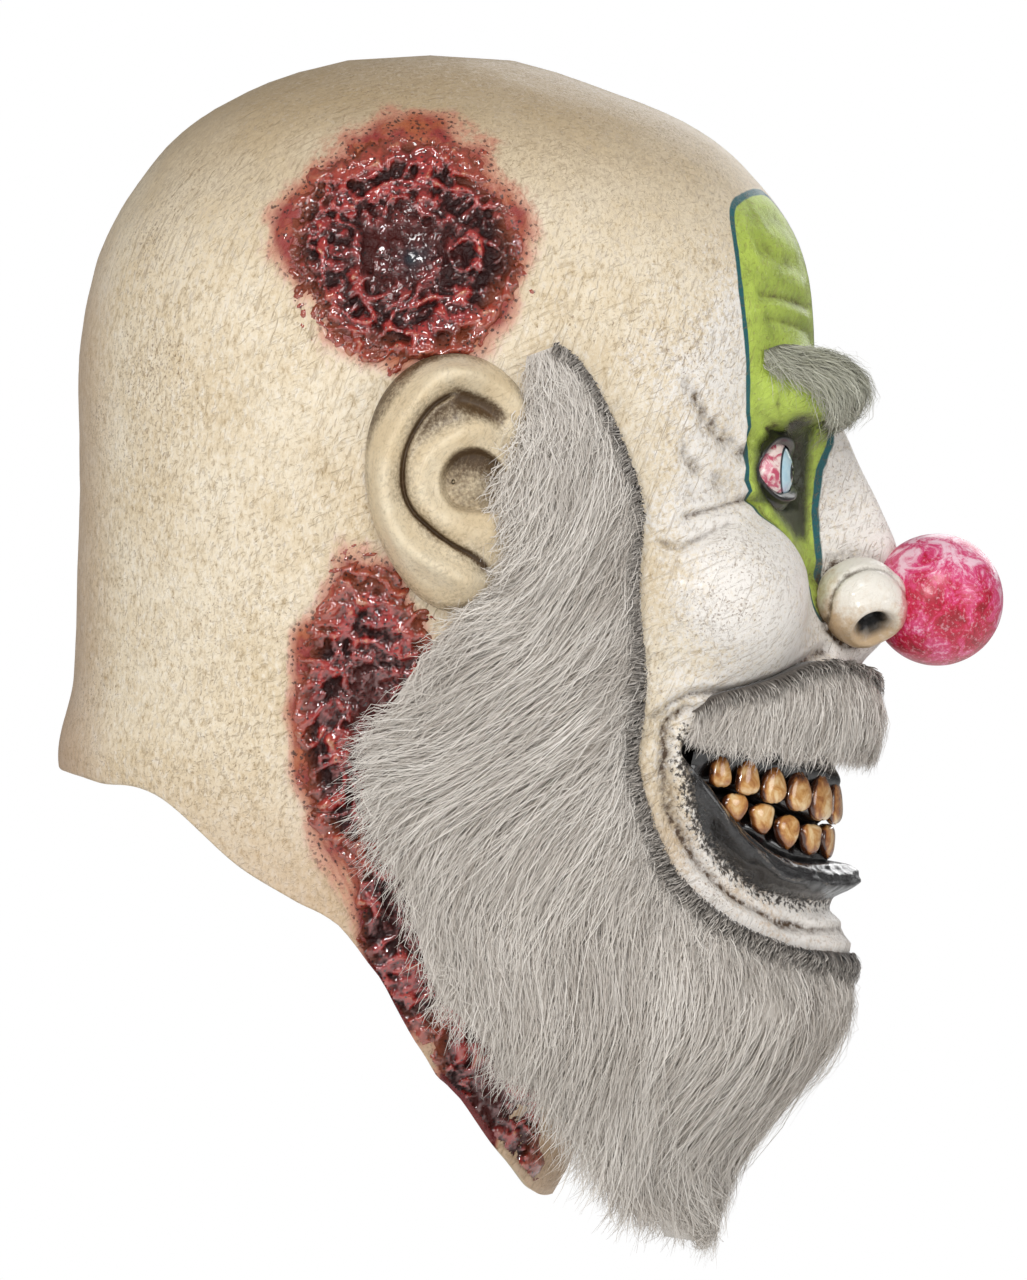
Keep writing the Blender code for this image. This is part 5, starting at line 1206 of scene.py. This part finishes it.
# Fur: acrylic pile about 0.1 mm thick on the real mask, drawn 0.2 to 0.5 mm wide so that it shows
fur = {
    "thickness": 0.009, "hang": 0.090, "tail": 0.016, "locks": 5,
    # beard from the chin to the sideburn: face angle, face drop, tip angle, tip drop, fall, thick
    "beard": np.array([
        [0, 0.786, 0, 0.786, 1.00, 1.2], [14, 0.785, 30, 0.786, 0.97, 1.2], [27, 0.781, 56, 0.786, 0.86, 1.2],
        [38, 0.765, 75, 0.786, 0.64, 1.1], [45, 0.742, 86, 0.786, 0.40, 1.0], [50, 0.712, 90, 0.786, 0.16, 1.0],
        [53.5, 0.670, 90, 0.735, 0.00, 1.0], [56, 0.615, 94, 0.660, 0.00, 1.0], [56, 0.550, 91, 0.580, 0.00, 1.0],
        [55.5, 0.494, 84, 0.512, 0.00, 0.95], [55, 0.430, 77, 0.462, 0.00, 0.95], [55.5, 0.385, 77, 0.400, 0.00, 0.9],
        [61, 0.320, 75, 0.340, 0.00, 0.75], [66, 0.277, 73.5, 0.300, 0.00, 0.5],
        [70, 0.262, 73.5, 0.270, 0.00, 0.3]]),
    # sections of the free part: fall, middle, front, half
    "tails": np.array([[0.00, 0.000, 0.566, 0.425], [0.15, 0.028, 0.564, 0.412], [0.30, 0.065, 0.534, 0.385],
                       [0.48, 0.110, 0.468, 0.330], [0.70, 0.150, 0.392, 0.265], [0.88, 0.172, 0.368, 0.205],
                       [1.10, 0.190, 0.352, 0.140]]),
    "moustache": np.array([[0, 0.545, 0.616, 1.0], [14, 0.534, 0.615, 1.0], [26, 0.532, 0.613, 0.9],
                           [36, 0.541, 0.610, 0.75], [44, 0.556, 0.602, 0.5], [48, 0.575, 0.594, 0.3]]),
    "brow": np.array([[6, 0.292, 0.312, 0.6], [11, 0.277, 0.313, 1.0], [18, 0.263, 0.304, 1.0],
                      [25, 0.257, 0.288, 0.8], [31, 0.262, 0.275, 0.4]]),
    # how the beard lies in the side view: forward mm, up mm, then the way it runs forward and up
    "flow": np.array([
        [36, -98, 0.05, -1], [50, -119, -0.35, -1], [34, -135, -0.15, -1], [59, -153, -0.50, -1],
        [40, -166, -0.60, -1], [25, -178, -0.95, -0.6], [53, -197, -0.60, -1], [22, -203, -0.85, -0.9],
        [0, -209, -1.0, -0.30], [65, -234, -0.45, -1],
        [34, -243, -0.50, -1], [0, -243, -0.60, -1], [-9, -237, -0.75, -0.8], [6, -274, 0.0, -1],
        [16, -305, 0.02, -1], [53, -284, -0.20, -1], [84, -271, -0.60, -0.9], [108, -284, -0.60, -1],
        [127, -290, -0.10, -1], [115, -315, -0.80, -1], [84, -308, -0.70, -0.8], [59, -315, 0.0, -1],
        [40, -321, 0.08, -1], [53, -346, 0.22, -1],
        [78, -346, -0.10, -1], [68, -361, 0.0, -1]]),
}


def tailPoint(angle, fall):
    middle, front, half = (curve(fall, fur["tails"][:, 0], fur["tails"][:, k]) for k in (1, 2, 3))
    points = place(half * np.sin(angle), middle + (front - middle) * np.cos(angle), fur["beard"][0, 1])
    points[..., 2] -= fall * fur["hang"]
    return points


def beardGrids(columns, rows, lift):
    # outer and inner grids of the beard on one half, from the chin (0) to the sideburn (1); lift scales its thickness
    share = np.linspace(0, 1, columns)
    step = share * (len(fur["beard"]) - 1)
    index = np.arange(len(fur["beard"]))
    down = np.linspace(0, 1, rows)[None, :]
    faceAngle, faceDrop, tipAngle, tipDrop, fallShare, thick = (
        curve(step, index, fur["beard"][:, k])[:, None] for k in range(6))
    angle = np.radians(faceAngle + (tipAngle - faceAngle) * down)
    drop = faceDrop + (tipDrop - faceDrop) * down
    lock = np.abs(np.cos(math.pi * fur["locks"] * share))[:, None]
    fall = fallShare * down * (0.93 + 0.07 * lock)
    onSkin = moulded(angle, rowAt(np.minimum(drop + fall * fur["hang"] / head["height"], 1)), recesses=False)
    hanging = tailPoint(angle, fall)
    free = plateau(1 - fall / 0.22, 1.0)[..., None]
    body = np.sin(math.pi * np.clip(down * 0.8 + 0.2, 0, 1)) ** 0.5
    thick = thick * (0.35 + 0.65 * body) * (0.65 + 0.35 * lock)
    skinNormal, tailNormal = normalsOf(onSkin, False), normalsOf(hanging, False)
    upper = onSkin + skinNormal * (thick * fur["thickness"] * lift)[..., None]
    outer = upper * (1 - free) + (hanging + tailNormal * (thick * fur["thickness"] * 0.4 * lift)[..., None]) * free
    under = onSkin - skinNormal * head["wall"] * 0.6
    behind = hanging - tailNormal * (fur["tail"] * (1.05 - 0.40 * down) * (0.6 + 0.4 * lift))[..., None]
    return outer, under * (1 - free) + behind * free


def padGrids(table, columns, rows, thickness, lift, whole):
    # fur pad over the skin between two edges; whole pads run from side to side, others on the right half
    share = np.abs(np.linspace(-1, 1, columns)) if whole else np.linspace(0, 1, columns)
    sign = np.sign(np.linspace(-1, 1, columns)) if whole else np.ones(columns)
    step, index = share * (len(table) - 1), np.arange(len(table))
    down = np.linspace(0, 1, rows)[None, :]
    angle, upper, lower, thick = (curve(step, index, table[:, k])[:, None] for k in range(4))
    angle = np.radians(angle * sign[:, None]) + 0 * down
    skin = moulded(angle, rowAt(upper + (lower - upper) * down), recesses=False)
    body = 0.35 + 0.65 * np.sin(math.pi * (0.20 + 0.70 * down))
    outer = skin + outwardOf(angle) * (thickness * thick * body * lift + 0.0004)[..., None]
    return outer, skin - outwardOf(angle) * 0.0015


def shellPiece(name, outer, inner, material, mirror, replaces=()):
    # closed shell between two grids; mirror turns the left half of the mask
    columns, rows = outer.shape[:2]
    count = columns * rows
    points = np.vstack([outer.reshape(-1, 3), inner.reshape(-1, 3)]) * [mirror, 1, 1]
    around = np.concatenate([np.arange(columns) * rows, (columns - 1) * rows + np.arange(1, rows),
                             np.arange(columns - 2, -1, -1) * rows + rows - 1, np.arange(rows - 2, 0, -1)])
    following = np.roll(around, -1)
    walls = np.stack([around, following, following + count, around + count], -1)
    front = gridFaces(columns, rows)
    faces = [front, front[:, ::-1] + count, walls[:, ::-1]]
    faces = outwards(points, faces, points.mean(0))
    along = np.tile(np.linspace(0, 1, rows), 2 * columns)
    return addPiece(name, points, faces, material,
                    {"along": along * 3.2, "tone": np.full(len(points), 0.42)}, replaces)


def furMaterial(name, rootColour, midColour, lightColour, darkColour):
    # acrylic pile: dull sheen, grey-beige with darker roots and some dark hairs; tone and along vary it
    material, tree, shader, coords = newMaterial(name, {
        "IOR": 1.5, "Roughness": 0.62, "Sheen Weight": 0.25, "Sheen Roughness": 0.4})
    along, tone = (addNode(tree, "Attribute", {"attribute_name": key}).outputs["Fac"] for key in ("along", "tone"))
    grain = addNode(tree, "TexNoise", {}, {"Vector": coords, "Scale": 380.0, "Detail": 3.0})
    tone = addNode(tree, "Math", multiplyAdd, {0: grain, 1: 0.3, 2: tone})
    light = addNode(tree, "MapRange", {}, {"Value": tone, "From Min": 0.25, "From Max": 1.1})
    colour = addNode(tree, "Mix", mixColour, {0: light, 6: midColour, 7: lightColour})
    dark = addNode(tree, "MapRange", {}, {"Value": tone, "From Min": 0.28, "From Max": 0.16, "To Max": 0.8})
    root = addNode(tree, "MapRange", smoothStep,
                   {"Value": along, "From Min": 0.0, "From Max": 0.30, "To Min": 0.92, "To Max": 0.0})
    for share, over in ((dark, darkColour), (root, rootColour)):
        colour = addNode(tree, "Mix", mixColour, {0: share, 6: colour, 7: over})
    setInputs(tree, shader, {"Base Color": colour})
    return material


def sampleGrid(grid, s, t):  # bilinear reading of a grid at shares s and t
    columns, rows = grid.shape[:2]
    x, y = np.clip(s, 0, 1) * (columns - 1), np.clip(t, 0, 1) * (rows - 1)
    i, j = np.minimum(x.astype(int), columns - 2), np.minimum(y.astype(int), rows - 2)
    a, b = (x - i)[:, None], (y - j)[:, None]
    return ((grid[i, j] * (1 - a) + grid[i + 1, j] * a) * (1 - b)
            + (grid[i, j + 1] * (1 - a) + grid[i + 1, j + 1] * a) * b)


def addRibbons(name, strand, ups, roll, width, tone, along, material, mirror, replaces=()):
    # one tapered ribbon along each strand, turned by roll about it
    total, steps = strand.shape[0], strand.shape[1] - 1
    across = np.cross(np.gradient(strand, axis=1), ups)
    across = normalised(across)
    across = across * np.cos(roll) + ups * np.sin(roll)
    u = np.linspace(0, 1, steps + 1)[None, :, None]
    half = width / 2 * np.clip(1.05 - u ** 2.2 * 0.85, 0.15, 1)
    points = np.stack([strand - across * half, strand + across * half], 2).reshape(-1, 3) * [mirror, 1, 1]
    first = (np.arange(total) * (steps + 1) * 2)[:, None]
    rung = (np.arange(steps) * 2)[None, :]
    faces = np.stack([first + rung, first + rung + 1, first + rung + 3, first + rung + 2], -1).reshape(-1, 4)
    attributes = {"tone": np.repeat(tone, (steps + 1) * 2),
                  "along": np.repeat(np.broadcast_to(along, (total, steps + 1)).reshape(-1), 2)}
    return addPiece(name, points, faces, material, attributes, replaces)


def growFur(name, grid, style, flowAt, material, mirror, seed, replaces=()):
    # guide hairs walk over the base surface along the flow; each carries a tuft of tapered ribbons that draw together
    dice = np.random.default_rng(seed)
    normals = normalsOf(grid, False)
    sides = [np.linalg.norm(np.gradient(grid, axis=k), axis=-1) for k in (0, 1)]
    area = (sides[0] * sides[1])[:-1, :-1]
    chance = np.cumsum(area.reshape(-1)) / area.sum()
    pick = np.searchsorted(chance, dice.random(style["guides"]))
    rows = area.shape[1]
    s = (pick // rows + dice.random(len(pick))) / area.shape[0]
    t = (pick % rows + dice.random(len(pick))) / rows
    edge = int(style["guides"] * style["edgeShare"])
    t[:edge] = dice.random(edge) ** 2 * 0.06
    s[:edge] = dice.random(edge)
    if "endShare" in style:  # more hair in the last tip
        end = int(style["guides"] * style["endShare"])
        s[edge:edge + end] = 1 - 0.16 * dice.random(end)
    tree = BVHTree.FromPolygons([tuple(p) for p in grid.reshape(-1, 3)],
                                [tuple(f) for f in gridFaces(*grid.shape[:2])])
    steps = style["steps"]
    root, up = sampleGrid(grid, s, t), sampleGrid(normals, s, t)
    length = (style["length"] * (0.75 + 0.5 * dice.random(len(root)))
              * (style["short"] + (1 - style["short"]) * smooth(t, 0.0, 0.25)))
    steep = np.linalg.norm(np.diff(grid, axis=1), axis=-1)
    left = np.concatenate([np.cumsum(steep[:, ::-1], axis=1)[:, ::-1], np.zeros((len(grid), 1))], axis=1)
    length = np.minimum(length, sampleGrid(left[..., None], s, t)[:, 0]
                        + style["over"](root) * (0.4 + 1.2 * dice.random(len(root))))
    if "lowest" in style:
        length = np.minimum(length, np.maximum(root[:, 2] - style["lowest"](root), 0.003))
    layer = dice.random(len(root))
    edgeLift = style["edgeLift"] + (1 - style["edgeLift"]) * smooth(t, 0.0, 0.14)
    position, normal = root.copy(), up.copy()
    path, ups = [root.copy()], [up.copy()]
    swirl = valueNoise(root, style["swirlSize"], seed) * style["swirl"]
    for k in range(1, steps + 1):
        way = flowAt(position)
        side = np.cross(normal, way)
        way = way * np.cos(swirl)[:, None] + side * np.sin(swirl)[:, None]
        way = way - normal * np.sum(way * normal, -1, keepdims=True)
        way = normalised(way)
        position = position + way * (length / steps)[:, None]
        height = style["lift"] * edgeLift * (0.30 + 0.70 * layer) * math.sin(math.pi * min(k / steps, 1) * 0.62)
        hits = [tree.find_nearest(tuple(p)) for p in position]
        spot = np.array([h[0] for h in hits])
        face = np.array([h[1] for h in hits])
        face = face * np.sign(np.sum(face * normal, -1, keepdims=True) + 1e-9)
        off = position - spot
        beyond = np.linalg.norm(off - face * np.sum(off * face, -1, keepdims=True), axis=-1) > 0.0012
        normal = np.where(beyond[:, None], normal, 0.5 * normal + 0.5 * face)
        normal = normalised(normal)
        position = np.where(beyond[:, None], position, spot)
        path.append(position + normal * height[:, None])
        ups.append(normal.copy())
    path, ups = np.stack(path, 1), np.stack(ups, 1)
    count = style["children"]
    total = len(root) * count
    who = np.repeat(np.arange(len(root)), count)
    spreadS, spreadT = (
        style["spread"] / np.maximum(sampleGrid(sides[k][..., None], s, t)[:, 0] * grid.shape[k], 1e-4)
        for k in (0, 1))
    discAngle, discReach = dice.random(total) * 2 * math.pi, np.sqrt(dice.random(total))
    childS = np.clip(s[who] + spreadS[who] * discReach * np.cos(discAngle), 0, 1)
    close = np.where(np.arange(len(root)) < edge, 0.25, 1.0)[who]
    childT = np.clip(t[who] + spreadT[who] * close * discReach * np.sin(discAngle), 0, 1)
    childRoot = sampleGrid(grid, childS, childT)
    shift = childRoot - root[who]
    u = np.linspace(0, 1, steps + 1)[None, :, None]
    reach = (0.70 + 0.45 * dice.random(total))[:, None, None]
    own = path[who]
    start = own[:, :1]
    wave = style["wave"] * (dice.random((total, 1, 3)) - 0.5) * np.sin(u * (3 + 4 * dice.random((total, 1, 1)))) * u
    strand = start + (own - start) * reach + shift[:, None, :] * (1 - style["clump"] * u ** 1.5) + wave
    strand = strand + ups[who] * (style["lift"] * 0.32 * (dice.random((total, 1, 1)) - 0.35)) * u
    beside = np.cross(ups[who], np.gradient(own, axis=1))
    beside = normalised(beside)
    strand = strand + beside * style["stray"] * (dice.random((total, 1, 1)) - 0.5) * u ** 1.4
    roll = (dice.random((total, 1, 1)) - 0.5) * 1.6
    width = style["width"] * (0.75 + 0.5 * dice.random((total, 1, 1)))
    tone = 0.57 + 0.46 * layeredNoise(root, 0.015, seed + 3)[who] + 0.16 * (dice.random(total) - 0.5) * 2
    tone = tone + 0.12 * (layer[who] - 0.5) + 0.34 * (dice.random(len(root)) - 0.5)[who]
    tone = np.clip(tone, 0, 1)
    tone = np.where(dice.random(total) < 0.08, 0.1, tone)
    alongRoot = smooth(childT, 0.0, style["rootBand"])
    along = np.clip(alongRoot[:, None] * 0.35 + np.linspace(0, 1, steps + 1)[None, :]
                    * (0.8 + 0.2 * alongRoot[:, None]), 0, 1)
    return addRibbons(name, strand, ups[who], roll, width, tone, along, material, mirror, replaces)


def growFringe(name, grid, style, flowAt, material, mirror, seed):
    # short dark hairs across the first edge of a fur grid, where the real fur was cut and glued
    dice = np.random.default_rng(seed)
    total = style["hairs"]
    run = np.concatenate([[0], np.cumsum(np.linalg.norm(np.diff(grid[:, 0], axis=0), axis=-1))])
    s = np.interp(dice.random(total) * run[-1], run, np.linspace(0, 1, len(run)))
    t = style["band"] * dice.random(total) ** 1.4
    root, up = sampleGrid(grid, s, t), sampleGrid(normalsOf(grid, False), s, t)
    way = sampleGrid(grid, s, t + 0.10) - root
    way = normalised(way) * (1 - style["follow"]) + flowAt(root) * style["follow"]
    bunch = valueNoise(root, style["bunch"], seed) * 0.5 + (dice.random(total) - 0.5) * 0.5
    way = way * np.cos(bunch)[:, None] + np.cross(up, way) * np.sin(bunch)[:, None]
    way = normalised(way)
    u = np.linspace(0, 1, 4)[None, :, None]
    length = (style["length"] * (0.5 + dice.random(total)))[:, None, None]
    high = style["base"] + style["rise"] * (0.4 + 0.8 * dice.random((total, 1, 1))) * np.sin(u * 2.2)
    ups = np.repeat(up[:, None, :], 4, axis=1)
    strand = root[:, None, :] - way[:, None, :] * 0.0006 + way[:, None, :] * length * u + ups * high
    roll = (dice.random((total, 1, 1)) - 0.5) * 1.2
    width = style["width"] * (0.7 + 0.6 * dice.random((total, 1, 1)))
    along = np.linspace(0, 0.22, 4)[None, :] * (0.4 + dice.random((total, 1)))
    return addRibbons(name, strand, ups, roll, width, 0.15 + 0.45 * dice.random(total), along, material,
                      mirror)


def beardFlow(points):
    # inverse-square mix of the listed directions, by the place in the side view; chin hair falls straight
    spot = np.stack([points[:, 1], points[:, 2]], -1) * 1000
    d = np.linalg.norm(spot[:, None, :] - fur["flow"][None, :, :2], axis=-1)
    weight = 1 / (d ** 2.5 + 30)
    way = (weight[..., None] * fur["flow"][None, :, 2:]).sum(1) / weight.sum(1)[:, None]
    inward = (-0.12 * smooth(-points[:, 2], 0.300, 0.350) * np.sign(points[:, 0])
              * smooth(np.abs(points[:, 0]), 0.0, 0.03))
    splay = 0.030 * (spot[:, 0] - 62) * smooth(-spot[:, 1], 318, 350)
    way = np.stack([inward, way[:, 0] * (1 - 0.6 * smooth(-spot[:, 1], 318, 350)) + splay, way[:, 1]], -1)
    return normalised(way)


def moustacheFlow(points):
    # down, a little outwards from the middle and back along the cheek
    side = np.abs(points[:, 0])
    way = np.stack([np.sign(points[:, 0]) * (0.06 + 1.5 * side), -0.10 - 2.2 * side, -1 + 0 * side], -1)
    return normalised(way)


def browFlow(points):
    # combed forwards over the ridge and down
    way = np.stack([-0.35 + 0 * points[:, 0], 0.75 + 0 * points[:, 0], -0.85 + 6.0 * (points[:, 2] + 0.095)], -1)
    return normalised(way)


def makeFur():
    beardPile = furMaterial("greyBeigeAcrylicPile", "3E362F", "BBB2A8", "E8E2DA", "83776B")
    browPile = furMaterial("mossGreyAcrylicPile", "5E5C48", "989680", "CFCEBF", "5A5947")
    outer, inner = beardGrids(104, 30, 0.60 * (0.25 + 0.75 * smooth(np.linspace(0, 1, 30), 0, 0.16))[None, :])
    for label, mirror in (("right", -1), ("left", 1)):
        shellPiece("beard_backing_" + label, outer, inner, beardPile, mirror)
    style = {"guides": 2420, "children": 9, "steps": 4, "length": 0.043, "short": 0.40, "lift": 0.0060,
             "spread": 0.0048, "clump": 0.60, "wave": 0.0075, "width": 0.00028, "swirl": 0.55, "swirlSize": 0.026,
             "edgeShare": 0.20, "rootBand": 0.05,
             "stray": 0.012, "endShare": 0.05, "edgeLift": 0.25,
             "over": lambda root: 0.0070 + 0.0065 * smooth(-root[:, 2], 0.290, 0.340),
             "lowest": lambda root: -0.3625 + 0.009 * valueNoise(root, 0.010, 77)}
    growFur("beard_pile_right", outer, style, beardFlow, beardPile, -1, 301, ("beard",))
    growFur("beard_pile_left", outer, style, beardFlow, beardPile, 1, 302)
    fringe = {"hairs": 4000, "band": 0.050, "length": 0.0050, "follow": 0.25, "bunch": 0.005, "base": 0.0008,
              "rise": 0.0030, "width": 0.00048}
    growFringe("beard_fringe_right", outer, fringe, beardFlow, beardPile, -1, 311)
    growFringe("beard_fringe_left", outer, fringe, beardFlow, beardPile, 1, 312)
    print("beard grown")
    outer, inner = padGrids(fur["moustache"], 101, 18, 0.011, 0.55, True)
    shellPiece("moustache_backing", outer, inner, beardPile, 1)
    style = {"guides": 1050, "children": 10, "steps": 4, "length": 0.019, "short": 0.7,
             "over": lambda root: 0.0030 + 0 * root[:, 0],
             "lowest": lambda root: -0.2165 + 0.0030 * valueNoise(root, 0.005, 78), "lift": 0.0036, "spread": 0.0032,
             "clump": 0.45, "wave": 0.0040, "width": 0.00028, "swirl": 0.40, "swirlSize": 0.012, "edgeShare": 0.35,
             "rootBand": 0.14, "stray": 0.007, "edgeLift": 0.35}
    growFur("moustache_pile", outer, style, moustacheFlow, beardPile, 1, 303, ("moustache",))
    fringe = {"hairs": 1500, "band": 0.12, "length": 0.0042, "follow": 0.20, "bunch": 0.005, "base": 0.0007,
              "rise": 0.0026, "width": 0.00044}
    growFringe("moustache_fringe", outer, fringe, moustacheFlow, beardPile, 1, 313)
    outer, inner = padGrids(fur["brow"], 50, 20, 0.0045, 0.3, False)
    style = {"guides": 400, "children": 11, "steps": 4, "length": 0.021, "short": 0.6, "lift": 0.0026,
             "spread": 0.0034, "clump": 0.30, "wave": 0.0050, "width": 0.00022, "swirl": 0.45, "swirlSize": 0.009,
             "edgeShare": 0.10, "rootBand": 0.06,
             "stray": 0.010, "edgeLift": 0.5, "over": lambda root: 0.0085 + 0 * root[:, 0]}
    for label, mirror, seed in (("right", -1, 304), ("left", 1, 305)):
        growFur("brow_pile_" + label, outer, style, browFlow, browPile, mirror, seed, ("brow_" + label,))
    print("moustache and brows grown")


makeFur()

# Studio: near-white surroundings, a soft key from above, the camera square to the right side
studio = {
    "distance": 4.0, "frameTall": 0.3968, "middle": (-0.0259, -0.17825), "sensor": 36,
    "floor": -1.0, "floorReach": 6.0, "paperGlow": 0.16, "worldLight": 0.22, "aim": (0, -0.02, -0.17),
    # lamps: place, size in metres, watts
    "lamps": (("key", (-1.9, -0.2, 1.35), 0.8, 22.5), ("front", (-1.2, -2.0, 0.2), 1.2, 12),
              ("back", (-1.0, 1.8, 0.4), 1.2, 9), ("farSide", (2.0, -0.8, 0.9), 1.6, 16),
              ("glint", (-2.3, 0.55, 0.45), 0.18, 16)),
}


def paperMaterial():
    # matt white background paper, glowing a little so that it stays pale
    material, tree, shader, coords = newMaterial("mattPaper", {
        "Roughness": 0.9, "Emission Color": "FFFFFF", "Emission Strength": studio["paperGlow"]})
    fibre = addNode(tree, "TexNoise", {}, {"Vector": coords, "Scale": 12.0, "Detail": 3.0})
    colour = addNode(tree, "Mix", mixColour, {0: fibre, 6: "F4F4F3", 7: "F8F8F7"})
    setInputs(tree, shader, {"Base Color": colour})
    return material


def makeStudio():
    mesh = bpy.data.meshes.new("floor")
    reach, level = studio["floorReach"], studio["floor"]
    corners = [(-reach, -reach, level), (reach, -reach, level), (reach, reach, level), (-reach, reach, level)]
    mesh.from_pydata(corners, [], [(0, 1, 2, 3)])
    mesh.materials.append(paperMaterial())
    floor = bpy.data.objects.new("floor", mesh)
    scene.collection.objects.link(floor)
    surroundings = bpy.data.worlds.new("whiteStudio")
    surroundings.use_nodes = True
    tree = surroundings.node_tree
    tree.nodes.clear()
    seen = addNode(tree, "LightPath").outputs["Is Camera Ray"]
    strength = addNode(tree, "MapRange", {}, {"Value": seen, "To Min": studio["worldLight"], "To Max": 1.0})
    light = addNode(tree, "Background", {}, {"Color": "FFFFFF", "Strength": strength})
    addNode(tree, "OutputWorld", {}, {0: light})
    scene.world = surroundings
    for name, spot, size, power in studio["lamps"]:
        lamp = bpy.data.lights.new(name, "AREA")
        lamp.shape, lamp.size, lamp.energy = "DISK", size, power
        thing = bpy.data.objects.new(name, lamp)
        thing.location = spot
        aim = Vector(studio["aim"]) - Vector(spot)
        thing.rotation_euler = aim.to_track_quat("-Z", "Y").to_euler()
        scene.collection.objects.link(thing)
    lens = bpy.data.cameras.new("camera")
    lens.sensor_fit, lens.sensor_width = "AUTO", studio["sensor"]
    lens.lens = studio["sensor"] * studio["distance"] / studio["frameTall"]
    lens.clip_start, lens.clip_end = 0.1, 50
    camera = bpy.data.objects.new("camera", lens)
    camera.location = (-studio["distance"], *studio["middle"])
    camera.rotation_euler = (math.radians(90), 0, math.radians(-90))
    scene.collection.objects.link(camera)
    scene.camera = camera
    scene.view_settings.view_transform = "Standard"


makeStudio()
print("studio set")

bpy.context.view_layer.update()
visible = [thing.data for thing in bpy.data.objects if thing.type == "MESH" and not thing.hide_render]
print("triangles", sum(len(face.vertices) - 2 for mesh in visible for face in mesh.polygons))
